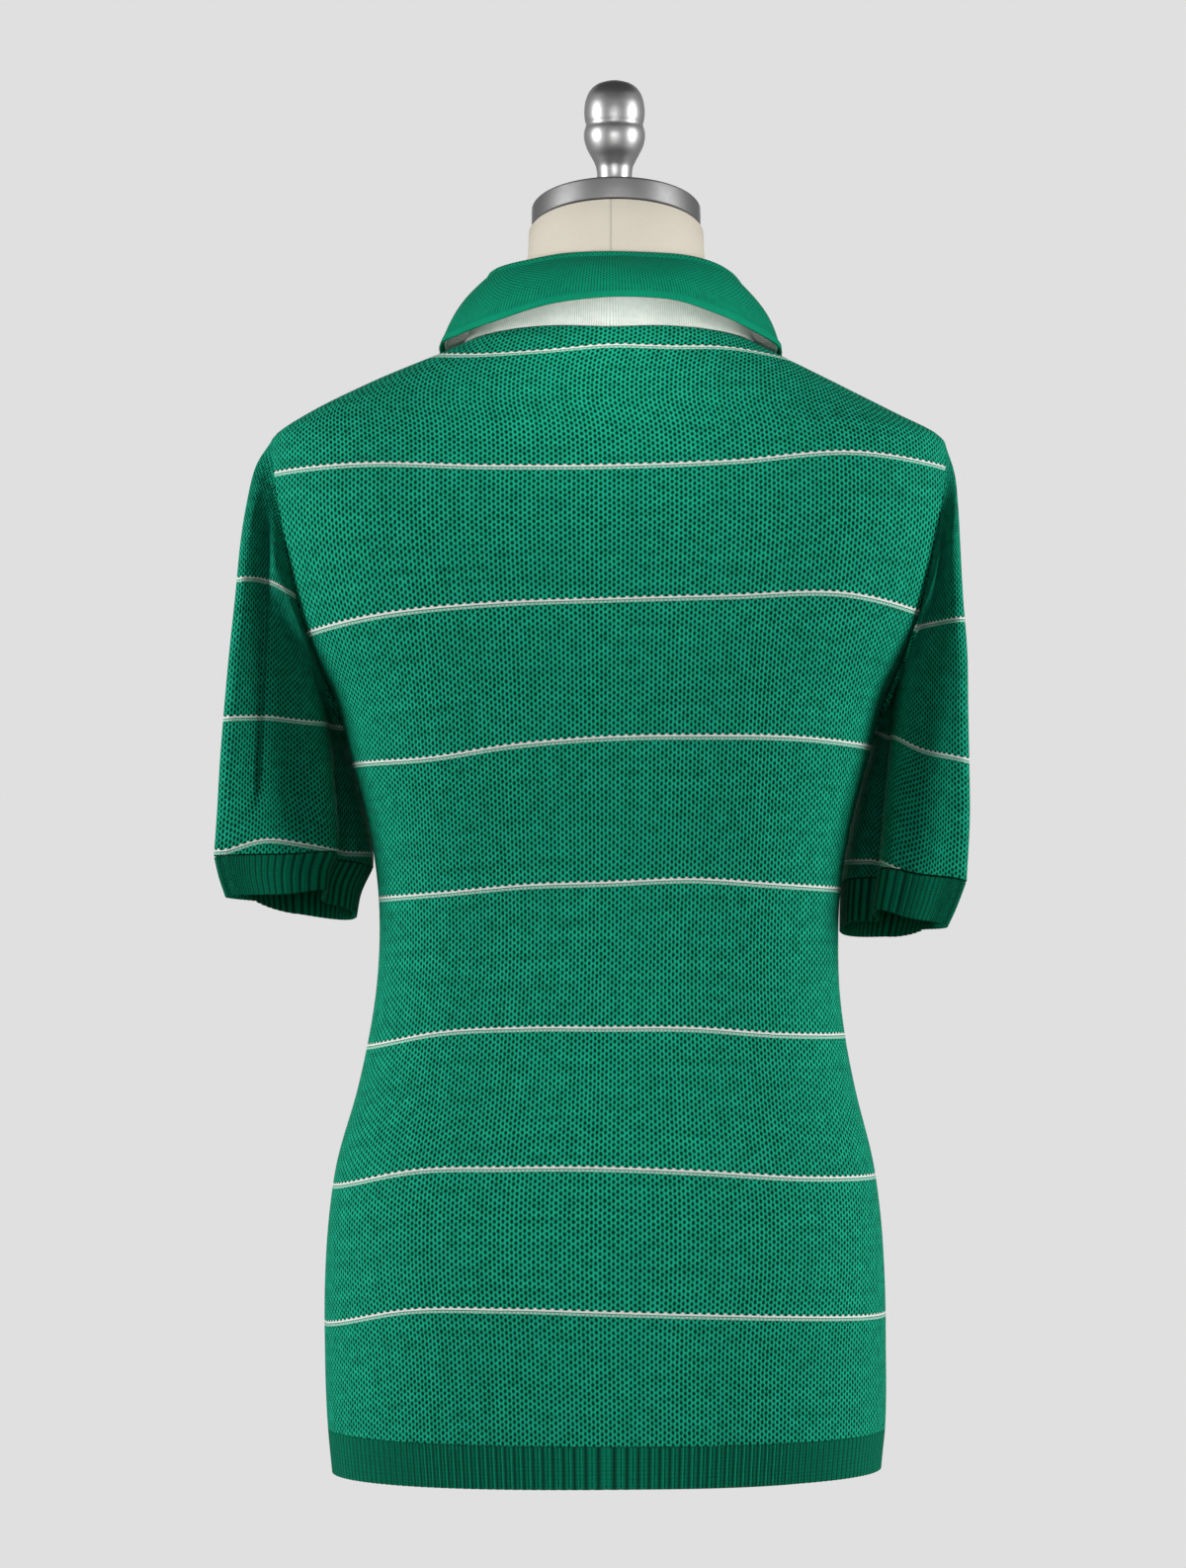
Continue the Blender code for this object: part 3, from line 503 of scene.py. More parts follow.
# The stripe: how far up or down the nearest 23rd cell is.
stripes_up = calc(tree, "ROUND", calc(tree, "DIVIDE", parts["Y"], STRIPE_CELLS))
off = calc(tree, "SUBTRACT", parts["Y"], times(tree, stripes_up, STRIPE_CELLS))
spike = calc(tree, "POWER", scaled(tree, wave(tree, parts["X"], 1), 0.5, 0.5), 3.0)
crest = scaled(tree, spike, 0.30, 0.34)
above = calc(tree, "SUBTRACT", off, crest)
upper = times(tree, soft_step(tree, off, 0.02, 0.10), soft_step(tree, above, 0.06, -0.06))
lower = times(tree, soft_step(tree, off, -0.50, -0.40), soft_step(tree, off, 0.0, -0.08))
band = times(tree, soft_step(tree, off, -0.52, -0.44), soft_step(tree, above, 0.10, -0.02))
band = times(tree, band, given["Stripe"])
stitch = scaled(tree, wave(tree, parts["X"], 2), 0.5, 0.5)
feed(tree, out["White"], times(tree, upper, given["Stripe"]))
feed(tree, out["Mint"], times(tree, times(tree, lower, scaled(tree, stitch, 0.6, 0.4)), given["Stripe"]))
solid_yarn = calc(tree, "MAXIMUM", yarn, band)
feed(tree, out["Yarn"], solid_yarn)
relief = scaled(tree, strand, 0.4, times(tree, solid_yarn, 0.8))
relief = calc(tree, "ADD", relief, times(tree, calc(tree, "MAXIMUM", upper, lower), given["Stripe"]))
feed(tree, out["Height"], times(tree, relief, 0.5))
stretched = tree.nodes.new("ShaderNodeMapping")
stretched.inputs["Scale"].default_value = (0.05, 0.9, 1)
tree.links.new(given["Cells"], stretched.inputs["Vector"])
feed(tree, out["Streak"], noise(tree, stretched.outputs["Vector"], 1.0, 3.0))
open_work = tree


# %% The green knit


def cell_map(tree):
    """The piece's stitch counts."""
    node = tree.nodes.new("ShaderNodeUVMap")
    node.uv_map = "cells"
    return node.outputs["UV"]


def bump(tree, shader, height, distance):
    """Raises the surface by a height of 0 to 1 times the distance."""
    node = tree.nodes.new("ShaderNodeBump")
    node.inputs["Strength"].default_value = 1.0
    node.inputs["Distance"].default_value = distance
    feed(tree, node.inputs["Height"], height)
    tree.links.new(node.outputs["Normal"], shader.inputs["Normal"])


def shaded(tree, colour, shade):
    """A colour made brighter or darker by a factor."""
    node = tree.nodes.new("ShaderNodeHueSaturation")
    feed(tree, node.inputs["Value"], shade)
    feed(tree, node.inputs["Color"], colour)
    return node.outputs["Color"]


def dull_yarn(tree, shader, colour, height, distance):
    """The surface of cotton yarn: its colour, hardly any shine, and its relief."""
    feed(tree, shader.inputs["Base Color"], colour)
    shader.inputs["Roughness"].default_value = 0.85
    shader.inputs["Specular IOR Level"].default_value = 0.08
    bump(tree, shader, height, distance)


# the darkest green below is painted shade in the knit's holes and the rib's grooves, and the brightest green
# is a painted highlight on the knotted strands
GREEN_YARN = (0.001, 0.245, 0.130, 1)
GREEN_PAINTED_HIGHLIGHT = (0.010, 0.410, 0.250, 1)
GREEN_PAINTED_SHADE = (0.0003, 0.028, 0.015, 1)
WHITE_YARN = (0.80, 0.82, 0.78, 1)
MINT_YARN = (0.42, 0.66, 0.55, 1)


def green_knit(name, top=None):
    """The green cloth. Above the top cell, if one is given, there is no stripe."""
    made, tree, shader = material(name)
    cells = cell_map(tree)
    stripe = 1.0
    if top is not None:
        stripe = soft_step(tree, split(tree, cells)["Y"], top + 0.5, top - 0.5)
    knit = use(tree, open_work, Cells=cells, Slack=0.10, Stripe=stripe)
    shade = scaled(tree, knit["Streak"], 0.5, 0.75)
    # painted shade in the holes and a painted highlight on the knotted strands, over the yarn's own green
    knit_with_painted_light = blend(tree, knit["Strand"], blend(tree, knit["Yarn"], GREEN_PAINTED_SHADE, GREEN_YARN), GREEN_PAINTED_HIGHLIGHT)
    colour = blend(tree, knit["Mint"], shaded(tree, knit_with_painted_light, shade), MINT_YARN)
    colour = blend(tree, knit["White"], colour, WHITE_YARN)
    dull_yarn(tree, shader, colour, knit["Height"], 0.0009)
    return made


knit_green = green_knit("green open knit")

# %% [markdown]
# ## The back and the front
# Each panel is a grid of points on the body's rings, dense enough for smooth folds. Its columns run from
# seam to seam, its rows from the rib to the neckline, and the rows bend up at the top to end on the
# neckline's oval.

# %% The panel grids
PANEL_ROWS, PANEL_COLUMNS = 150, 120
# a hair between the panels and the rib, and the height from which the rows bend up to the neckline
HEM_GAP, BEND_FROM = 0.0004, 0.48


def panel_points(side, rows, columns):
    """A panel's outer face and each point's place between the seams."""
    # more rows where the armhole turns
    low_rows, arm_rows = rows // 2, rows * 3 // 8
    levels = np.concatenate([
        np.linspace(HEM_TOP + HEM_GAP, ARMPIT, low_rows, endpoint=False),
        np.linspace(ARMPIT, SHOULDER, arm_rows, endpoint=False),
        np.linspace(SHOULDER, NECK_SIDE, rows - low_rows - arm_rows),
    ])
    across = np.linspace(0, 1, columns + 1)
    if side < 0:
        across = across[::-1]
    level, share = np.meshgrid(levels, across, indexing="ij")
    start = edge_angle(level, side)
    angle = start + share * (pi - 2 * start)
    lift = np.where((share > 0) & (share < 1), neckline_height(side * pi * share) - NECK_SIDE, 0.0)
    lift *= ease((level - BEND_FROM) / (NECK_SIDE - BEND_FROM))
    points = body_points(side * angle, level + lift)
    half_width, _back, _front, shift = np.moveaxis(read_table(BODY, points[..., 2]), -1, 0)
    return points, (points[..., 0] - shift) / half_width


def panel_cells(side, points, place):
    """The stitch counts across and up at a panel's points."""
    heights = stripe_heights(place, side)
    counts = STRIPE_CELLS * np.arange(heights.shape[-1] + 2)
    up = count_at(points[..., 2], heights, BELOW_STRIPES, ABOVE_STRIPES, counts)
    return np.stack([cells_across(points), up], axis=-1)


back_points, back_place = panel_points(1, PANEL_ROWS, PANEL_COLUMNS)
back = sheet("back_panel", back_points, panel_cells(1, back_points, back_place), KNIT_THICK)
add_piece(back, knit_green, "back")

# %% The front and its slot
front_points, front_place = panel_points(-1, PANEL_ROWS, PANEL_COLUMNS)
# the slot's foot and half width, its half width in columns, and the straight rows under its foot
PLACKET_FOOT, SLOT_HALF, SLOT_SPAN, STRAIGHT_ROWS = 0.505, 0.0150, 4, 6
front_middle = PANEL_COLUMNS // 2
slot = slice(front_middle - SLOT_SPAN, front_middle + SLOT_SPAN + 1)
foot_row = int(np.argmax(front_points[:, front_middle, 2] > PLACKET_FOOT))
front_points[foot_row - STRAIGHT_ROWS :, slot, 0] = np.linspace(-SLOT_HALF, SLOT_HALF, 2 * SLOT_SPAN + 1)
front = sheet(
    "front_panel", front_points, panel_cells(-1, front_points, front_place), KNIT_THICK,
    keep=lambda row, column: row < foot_row or abs(column + 0.5 - front_middle) > SLOT_SPAN,
)
add_piece(front, knit_green, "front")

# %% [markdown]
# ## The sleeves
# A sleeve is a tube that starts on the armhole's edge and ends at the cuff. Its rings lean, because the
# armhole is upright and the cuff is level. The main folds are soft troughs that run down the rings at one
# angle, and the edge where the sleeve turns in under the arm is a soft ridge.

# %% The armhole and the rings of a sleeve
ARMHOLE_LEVELS = (0.6465, 0.635, 0.620, 0.602, 0.580, 0.558, 0.538, 0.520, 0.505, 0.493, 0.483)
RING_POINTS, RING_ROWS, LAST_RING = 144, 96, 9


def ring_angles(count):
    """Angles all round, evenly spaced."""
    return np.linspace(0, 2 * pi, count, endpoint=False)


def armhole_ring(sign, angles):
    """The sleeve's first ring: the panels' armhole edge, a hair further out. It starts at the shoulder."""
    turn = np.where(angles <= pi, angles, 2 * pi - angles)
    level = read_table([(pi * i / 10, z) for i, z in enumerate(ARMHOLE_LEVELS)], turn)[..., 0]
    points = np.zeros((len(angles), 3))
    for side, at in ((1, angles <= pi), (-1, angles > pi)):
        start = edge_angle(level[at], side)
        start, near_start = (start, start + 0.02) if sign > 0 else (pi - start, pi - start - 0.02)
        edge = body_points(side * start, level[at])
        away = edge - body_points(side * near_start, level[at])
        gap = 0.0005 + 0.0004 * ease((0.545 - level[at]) / 0.03)
        points[at] = edge + away / np.linalg.norm(away, axis=1, keepdims=True) * gap[:, None]
    return points


def ring_points(rows, angles, sign, turn):
    """Points of a sleeve's rings: rows of the table, one for each ring, at all the angles. A turned ring is a
    flattened oval whose back edge lies further out than its front edge."""
    columns = (column[:, None] for column in rows.T)
    outer_x, outer_z, inner_x, inner_z, back, front, back_rise, front_rise = columns
    cosine = power(np.cos(angles), 2 / SLEEVE_SQUARENESS)[None]
    sine = np.sin(angles[None] + np.radians(turn)[:, None])
    behind = sine >= 0
    share = np.abs(power(sine, 2 / SLEEVE_SQUARENESS))
    x = (outer_x + inner_x) / 2 + (outer_x - inner_x) / 2 * cosine
    y = np.where(behind, back, front) * share
    z = (outer_z + inner_z) / 2 + (outer_z - inner_z) / 2 * cosine
    z = z + np.where(behind, back_rise, front_rise) * share
    return np.stack([sign * x, y, z], axis=-1)


def draw_in(points, rings, angles, folds):
    """Moves the rings' points towards their middle along each fold."""
    middle = points.mean(axis=1, keepdims=True)
    inward = middle - points
    inward /= np.linalg.norm(inward, axis=2, keepdims=True)
    depth = np.zeros(points.shape[:2])
    for fold_angle, spread, deep, first, last in folds:
        away = (np.degrees(angles) - fold_angle + 180) % 360 - 180
        along = ease((rings - first) / 1.5) * ease((last - rings) / 1.5)
        depth += deep * along[:, None] * np.exp(-((away / spread) ** 2))[None]
    return points + inward * depth[..., None]


def sleeve_rings(table, folds, sign, count, rows):
    """A sleeve's rings from the armhole to the cuff. The first few take their shape over from the armhole."""
    angles = ring_angles(count)
    rings = np.linspace(0, LAST_RING, rows)
    points = ring_points(read_table(table, rings), angles, sign, TURN * ease(rings / TURN_RINGS))
    first = ring_points(np.array([table[0][1:]], float), angles, sign, np.zeros(1))[0]
    offset = armhole_ring(sign, angles) - first
    points += offset[None] * (np.maximum(0.0, 1 - rings / TURN_RINGS) ** 1.5)[:, None, None]
    return draw_in(points, rings, angles, folds)


def facing_out(rings, sign):
    """The left sleeve's rings run one way and the right one's the other, so that both walls face out."""
    return rings[:, ::-1] if sign > 0 else rings


def closed(rings):
    """The rings with their first column again at the end."""
    return np.concatenate([rings, rings[:, :1]], axis=1)


# %% Stitch counts on a sleeve
# place from the outer edge (0) to the inner side (1), then each stripe's height, from the cuff up
SLEEVE_STRIPES_LEFT = (
    (0.00, 0.3850, 0.4665, 0.5512), (0.33, 0.3920, 0.4675, 0.5515),
    (0.66, 0.3895, 0.4655, 0.5400), (1.00, 0.3850, 0.4640, 0.5300),
)
SLEEVE_STRIPES_RIGHT = (
    (0.00, 0.3600, 0.4380, 0.5275), (0.33, 0.3612, 0.4425, 0.5270),
    (0.66, 0.3690, 0.4490, 0.5225), (1.00, 0.3800, 0.4630, 0.5080),
)
# the outer edge's distance from the middle, and the way from there to the inner side
SLEEVE_EDGE, SLEEVE_REACH = 0.235, 0.07
# the count at the hidden start, at each stripe and at the top, and how far the start and the top
# lie from the stripes
SLEEVE_COUNTS = np.array([0.0, 23.0, 46.0, 69.0, 104.0])
BELOW_SLEEVE_STRIPES, ABOVE_SLEEVE_STRIPES = 0.085, 0.120


def sleeve_cells(points, stripes):
    """Across runs round the ring from its outer point, up runs from stripe to stripe."""
    run = lengths(points, 1)
    whole = run[:, -1:]
    across = (run / whole - 0.5) * whole.mean() / CELL
    heights = read_table(stripes, (SLEEVE_EDGE - np.abs(points[..., 0])) / SLEEVE_REACH)
    up = count_at(points[..., 2], heights, BELOW_SLEEVE_STRIPES, ABOVE_SLEEVE_STRIPES, SLEEVE_COUNTS)
    return np.stack([across, up], axis=-1)


knit_sleeve = green_knit("green open knit of the sleeves", top=80.0)
for name, sign, table, folds, stripes in (
    ("left", 1, SLEEVE_LEFT, FOLDS_LEFT, SLEEVE_STRIPES_LEFT),
    ("right", -1, SLEEVE_RIGHT, FOLDS_RIGHT, SLEEVE_STRIPES_RIGHT),
):
    rings = closed(facing_out(sleeve_rings(table, folds, sign, RING_POINTS, RING_ROWS), sign))
    sleeve = sheet(f"{name}_sleeve", rings, sleeve_cells(rings, stripes), KNIT_THICK, closed=True)
    add_piece(sleeve, knit_sleeve, f"sleeve_{name}")

# %% [markdown]
# ## Ribs
# The cuffs and the hem are rib knit: upright round ridges with narrow grooves between them. They are real
# geometry here, because they show on the outline and catch the light. Each ridge takes eight columns of the
# grid.

# %% Ribbed bands
RIB_COLUMNS = 8
RIB_DEPTH, RIB_COURSE, RIB_HEIGHT = 0.0010, 0.0017, 0.027
# a groove's half width, as a share of half a rib
GROOVE = 0.42


def rib_profile(count):
    """How far in each column lies: 0 on a ridge, 1 in a groove."""
    t = (np.arange(count) / RIB_COLUMNS) % 1.0
    to_groove = np.abs(t - 0.5) * 2
    return np.clip(1 - (1 - to_groove) / GROOVE, 0, 1) ** 1.2


def outward_normals(points):
    """Each point's normal on a closed grid without its repeated column."""
    across = np.roll(points, -1, axis=1) - np.roll(points, 1, axis=1)
    normals = np.cross(across, np.gradient(points, axis=0))
    return normals / np.linalg.norm(normals, axis=2, keepdims=True)


def ribbed(points, depth, profile):
    """The grid with its grooves drawn in."""
    return points - outward_normals(points) * (profile * depth)[..., None]


GREEN_RIB = (0.001, 0.23, 0.125, 1)


def rib_finish():
    """The rib's yarn, with painted shade in the grooves and between the courses across the ridges."""
    made, tree, shader = material("green rib knit")
    cells = cell_map(tree)
    parts = split(tree, cells)
    ridge = scaled(tree, wave(tree, parts["X"], 1), 0.5, 0.5)
    course = scaled(tree, wave(tree, parts["Y"], 1), 0.5, 0.5)
    loop_relief_and_painted_shade = times(tree, calc(tree, "POWER", ridge, 0.6), scaled(tree, course, 0.25, 0.75))
    shade = scaled(tree, noise(tree, cells, 0.8), 0.3, 0.85)
    # painted shade in the grooves and between the courses; the same mask raises the relief
    colour = shaded(tree, blend(tree, loop_relief_and_painted_shade, GREEN_PAINTED_SHADE, GREEN_RIB), shade)
    dull_yarn(tree, shader, colour, loop_relief_and_painted_shade, 0.0004)
    return made


rib_green = rib_finish()


def rib_band(name, points, replaced):
    """A closed band with its grooves drawn in: one cell across for each rib, one up for each course."""
    rows, count = points.shape[:2]
    points = ribbed(points, RIB_DEPTH, np.broadcast_to(rib_profile(count), (rows, count)))
    across = np.arange(count + 1) / RIB_COLUMNS
    up = np.linspace(0, RIB_HEIGHT / RIB_COURSE, rows)
    cells = np.stack(np.meshgrid(across, up, indexing="xy"), axis=-1)
    band = sheet(name, closed(points), cells, RIB_PLY, closed=True, smooth_angle=0.9)
    add_piece(band, rib_green, replaced)
    return band


# %% The cuffs and the hem
CUFF_ROWS, CUFF_START, CUFF_END = 14, 9.04, 10
for name, sign, table, folds, ribs in (
    ("left", 1, CUFF_LEFT, FOLDS_LEFT, 72),
    ("right", -1, CUFF_RIGHT, FOLDS_RIGHT, 70),
):
    angles = ring_angles(ribs * RIB_COLUMNS)
    rows = np.linspace(CUFF_START, CUFF_END, CUFF_ROWS)
    points = ring_points(read_table(table, rows), angles, sign, np.full(CUFF_ROWS, TURN))
    points = draw_in(points, np.full(CUFF_ROWS, float(LAST_RING)), angles, folds)
    rib_band(f"{name}_cuff", facing_out(points, sign), f"cuff_{name}")

HEM_RIBS = 196
# more rows at the two rounded edges
levels = np.array([0.002, 0.0032, 0.007, 0.012, 0.017, 0.022, 0.026, 0.0278, 0.0288])
points = body_points(ring_angles(HEM_RIBS * RIB_COLUMNS)[None], levels[:, None])
# the bottom edge hangs a little lower on the left
points[..., 2] += (0.0012 - 0.008 * points[..., 0]) * ease((HEM_TOP - levels) / 0.018)[:, None]
hem = rib_band("hem_band", points, "hem_rib")

# %% [markdown]
# ## The collar
# The collar is double: a green face and a white face, knitted apart and linked at the leaf's edge. Its
# section climbs from the neckline, rolls over and falls away as the leaf. The green face ends in a rolled
# edge of two small beads. Both faces are grids that run along the collar, and their knit is finer than the
# body's.

# %% The collar's section, all round
COLLAR_STATIONS = 200
STAND_ROWS, ROLL_ROWS, LEAF_ROWS = 12, 9, 26


def collar_middle(around, stand_rows, roll_rows, leaf_rows):
    """The middle line between the two faces at every station: rows x stations x 3."""
    rows = read_table(COLLAR, around)
    roll, edge = rows[:, :3], rows[:, 3:]
    angle = np.radians(around)
    seam = body_points(angle, neckline_height(angle))
    seam[:, 2] += 0.0006 + 0.0024 * np.maximum(0.0, -np.sin(angle))
    outward = (edge - roll) * (1, 1, 0)
    outward /= np.linalg.norm(outward, axis=1, keepdims=True)
    radial = seam * (1, 1, 0) / np.hypot(seam[:, 0], seam[:, 1])[:, None]
    base = seam - radial * KNIT_THICK
    crest = roll - np.array((0, 0, ROLL_RADIUS))
    foot, shoulder = crest - outward * ROLL_RADIUS, crest + outward * ROLL_RADIUS
    run = edge - shoulder
    leaf_out = np.cross(run, np.cross(outward, run))
    leaf_out /= np.linalg.norm(leaf_out, axis=1, keepdims=True)
    section = [base + (foot - base) * t for t in np.linspace(0, 1, stand_rows, endpoint=False)]
    for t in np.linspace(0, pi, roll_rows):
        section.append(crest - outward * ROLL_RADIUS * cos(t) + np.array((0, 0, ROLL_RADIUS * sin(t))))
    for t in np.linspace(0, 1, leaf_rows)[1:]:
        section.append(shoulder + run * t + leaf_out * LEAF_LIFT * sin(pi * t))
    return np.array(section)


def grid_normals(points):
    """Each point's normal on an open grid."""
    across = np.gradient(points, axis=1)
    normals = np.cross(across, np.gradient(points, axis=0))
    return normals / np.linalg.norm(normals, axis=2, keepdims=True)


def edge_bead(place, spread):
    """A soft ridge along the leaf, at this distance from its edge."""
    return np.exp(-(((from_edge - place) / spread) ** 2))


# the fine knit's cell, half the gap between the two faces, and the height of the edge's two beads
FINE_ACROSS, FINE_UP = 0.0028, 0.0021
FACE_GAP, BEAD = 0.00025, 0.0011
around = np.linspace(COLLAR[0][0], COLLAR[-1][0], COLLAR_STATIONS)
middle = collar_middle(around, STAND_ROWS, ROLL_ROWS, LEAF_ROWS)
normals = grid_normals(middle)
down = lengths(middle, 0)
along = np.broadcast_to(lengths(middle, 1)[STAND_ROWS + 4], middle.shape[:2])
from_edge = down[-1:] - down
print("collar from seam to leaf edge", np.round(down[-1, ::40] * 1000), "mm")
bead = BEAD * (edge_bead(0.0009, 0.0008) + edge_bead(0.0030, 0.0009))
green_face = middle - normals * (FACE_GAP + COLLAR_PLY + bead)[..., None]
cells = np.stack([along / FINE_ACROSS, from_edge / FINE_UP], axis=-1)
collar_green = sheet("collar_green", green_face[:, ::-1], cells[:, ::-1], COLLAR_PLY, smooth_angle=1.4)
# the white face ends under the green one's rolled edge
white_rows = slice(0, -2)
white_face = middle[white_rows] + normals[white_rows] * (FACE_GAP + COLLAR_PLY)
collar_white = sheet("collar_white", white_face, cells[white_rows], COLLAR_PLY, smooth_angle=1.4)

# %% The collar's finer knit
tree, given, out = group(
    "fine knit",
    [("Cells", "Vector", None), ("Mesh", "Float", 1.0)],
    [("Yarn", "Float"), ("Height", "Float"), ("Streak", "Float")],
)
parts = split(tree, given["Cells"])
net = times(tree, wave(tree, parts["X"], 1), wave(tree, parts["Y"], 1))
net = times(tree, times(tree, net, 0.62), given["Mesh"])
hole = calc(tree, "ADD", net, times(tree, wave(tree, parts["X"], 2), 0.42))
uneven = times(tree, calc(tree, "SUBTRACT", noise(tree, given["Cells"], 0.7, 1.0), 0.5), 0.5)
hole = calc(tree, "ADD", hole, uneven)
yarn = soft_step(tree, hole, 0.62, -0.05)
feed(tree, out["Yarn"], yarn)
feed(tree, out["Height"], yarn)
feed(tree, out["Streak"], noise(tree, given["Cells"], 0.12))
fine_knit = tree


def fine_finish(name, yarn_colour, painted_hole_shade, mesh_at, relief):
    """mesh_at is (start, end): between these cells from the leaf's edge the open mesh grows from nothing."""
    made, tree, shader = material(name)
    cells = cell_map(tree)
    from_leaf_edge = split(tree, cells)["Y"]
    knit = use(tree, fine_knit, Cells=cells, Mesh=soft_step(tree, from_leaf_edge, *mesh_at))
    plain_edge = soft_step(tree, from_leaf_edge, 1.7, 2.3)
    yarn = calc(tree, "MAXIMUM", knit["Yarn"], calc(tree, "SUBTRACT", 1.0, plain_edge))
    shade = scaled(tree, knit["Streak"], 0.3, 0.85)
    # the holes get painted shade, the yarn its own colour
    colour = shaded(tree, blend(tree, yarn, painted_hole_shade, yarn_colour), shade)
    dull_yarn(tree, shader, colour, knit["Height"], relief)
    return made


# each face's yarn colour, then the painted shade in its holes
FINE_GREEN, FINE_GREEN_PAINTED_SHADE = (0.001, 0.235, 0.125, 1), (0.0005, 0.055, 0.030, 1)
FINE_WHITE, FINE_WHITE_PAINTED_SHADE = (0.84, 0.85, 0.80, 1), (0.50, 0.60, 0.52, 1)
fine_green = fine_finish("green fine knit", FINE_GREEN, FINE_GREEN_PAINTED_SHADE, (4.5, 8.5), 0.0004)
fine_white = fine_finish("white fine knit", FINE_WHITE, FINE_WHITE_PAINTED_SHADE, (30.0, 20.0), 0.0003)
add_piece(collar_green, fine_green, "collar_top")
add_piece(collar_white, fine_white, "collar_under")

# %% [markdown]
# ## The placket
# Two plain bands fill the slot in the front. The lower one sits in the slot, and the upper one lies over
# it. Each is a strip of the front's own grid, moved out a little, with the collar's fine knit.

# %% Two bands on the front's slot
BAND_HALF, BAND_GAP, BAND_BOW = 0.0165, 0.0003, 0.0004
# the bands' count up starts here, far past the plain edge of the collar's leaf
FAR_FROM_EDGE = 40


def band_points(half, off, bow):
    """A strip over the slot. Its middle stands off a little more than its edges."""
    strip = front_points[foot_row:, slot].copy()
    across = np.linspace(-1, 1, strip.shape[1])
    strip[..., 0] = half * across
    strip += grid_normals(strip) * (off + bow * (1 - across**2))[None, :, None]
    strip[0, :, 2] += BAND_GAP
    return strip


def placket_band(name, strip):
    """The strip as cloth, with the fine knit's cells."""
    up = FAR_FROM_EDGE + lengths(strip, 0) / FINE_UP
    return sheet(name, strip, np.stack([lengths(strip, 1) / FINE_ACROSS, up], axis=-1), KNIT_THICK)


upper_points = band_points(BAND_HALF, BAND_GAP + KNIT_THICK, BAND_BOW)
lower_band = placket_band("placket_lower_band", band_points(SLOT_HALF - BAND_GAP, 0.0, 0.0))
upper_band = placket_band("placket_upper_band", upper_points)
add_piece(lower_band, fine_green, "placket_under")
add_piece(upper_band, fine_green, "placket_upper")

# %% [markdown]
# ## The buttons
# One button is turned from a disc: a rim round a shallow dish, and four holes bored through. The other two
# are copies with their own mesh, each set square on the band.

# %% A button with a rim, a dish and four holes
BUTTON_RADIUS, BUTTON_THICK, BUTTON_HEIGHTS = 0.0055, 0.0024, (0.626, 0.580, 0.534)
RIM, DISH, HOLE_PLACE, HOLE_RADIUS = 0.0013, 0.0007, 0.0011, 0.00055
# a button's middle above the band, and half the length over which the band's lean is taken
BUTTON_OFF, LEAN_REACH = 0.0018, 0.006


def pick_top(piece):
    """In edit mode, select the faces that lie at the top of the piece."""
    bpy.ops.object.mode_set(mode="OBJECT")
    top = max(vertex.co.z for vertex in piece.data.vertices)
    for face in piece.data.polygons:
        face.select = all(piece.data.vertices[v].co.z > top - 1e-6 for v in face.vertices)
    bpy.ops.object.mode_set(mode="EDIT")


def round_edges(piece, name, width, segments):
    """Rounds the sharp edges a little."""
    bevel = piece.modifiers.new(name, "BEVEL")
    bevel.width, bevel.segments = width, segments
    bevel.limit_method, bevel.angle_limit = "ANGLE", 0.6
    bpy.ops.object.modifier_apply(modifier=bevel.name)


def turn_button():
    """A disc with a rim and a shallow dish, bored four times."""
    bpy.ops.object.select_all(action="DESELECT")
    bpy.ops.mesh.primitive_cylinder_add(vertices=48, radius=BUTTON_RADIUS, depth=BUTTON_THICK)
    disc = bpy.context.object
    bpy.ops.object.mode_set(mode="EDIT")
    bpy.ops.mesh.select_mode(type="FACE")
    pick_top(disc)
    bpy.ops.mesh.inset(thickness=RIM, depth=0)
    bpy.ops.mesh.inset(thickness=DISH, depth=-DISH)
    bpy.ops.object.mode_set(mode="OBJECT")
    for x, y in ((1, 1), (-1, 1), (-1, -1), (1, -1)):
        bpy.ops.object.select_all(action="DESELECT")
        place = (x * HOLE_PLACE, y * HOLE_PLACE, 0)
        bpy.ops.mesh.primitive_cylinder_add(vertices=16, radius=HOLE_RADIUS, depth=0.01, location=place)
        drill = bpy.context.object
        clean_selection(disc)
        hole = disc.modifiers.new("hole", "BOOLEAN")
        hole.object, hole.operation, hole.solver = drill, "DIFFERENCE", "EXACT"
        bpy.ops.object.modifier_apply(modifier=hole.name)
        bpy.data.objects.remove(drill)
    clean_selection(disc)
    round_edges(disc, "soft edges", 0.0002, 2)
    bpy.ops.object.shade_smooth_by_angle(angle=0.6)
    return disc


# %% Three buttons on the upper band


def band_face(height):
    """How far forward the upper band's middle line lies at a height."""
    return np.interp(height, upper_points[:, SLOT_SPAN, 2], upper_points[:, SLOT_SPAN, 1])


shell_white, tree, shader = material("pearly button")
coords = tree.nodes.new("ShaderNodeTexCoord").outputs["Object"]
cloud = noise(tree, coords, 420.0)
feed(tree, shader.inputs["Base Color"], blend(tree, cloud, (0.66, 0.70, 0.63, 1), (0.84, 0.85, 0.78, 1)))
shader.inputs["Roughness"].default_value = 0.22
shader.inputs["Coat Weight"].default_value = 0.3
model_button = turn_button()
for number, height in enumerate(BUTTON_HEIGHTS, start=1):
    button = new_piece(f"button_{number}_turned", model_button.data.copy())
    lean = atan2(band_face(height + LEAN_REACH) - band_face(height - LEAN_REACH), 2 * LEAN_REACH)
    outward = np.array((0.0, -cos(lean), sin(lean)))
    button.location = np.array((0.0, band_face(height), height)) + outward * BUTTON_OFF
    button.rotation_euler = (pi / 2 - lean, 0, 0)
    bpy.ops.object.transform_apply(location=True, rotation=True, scale=True)
    add_piece(button, shell_white, f"button_{number}")
bpy.data.objects.remove(model_button)

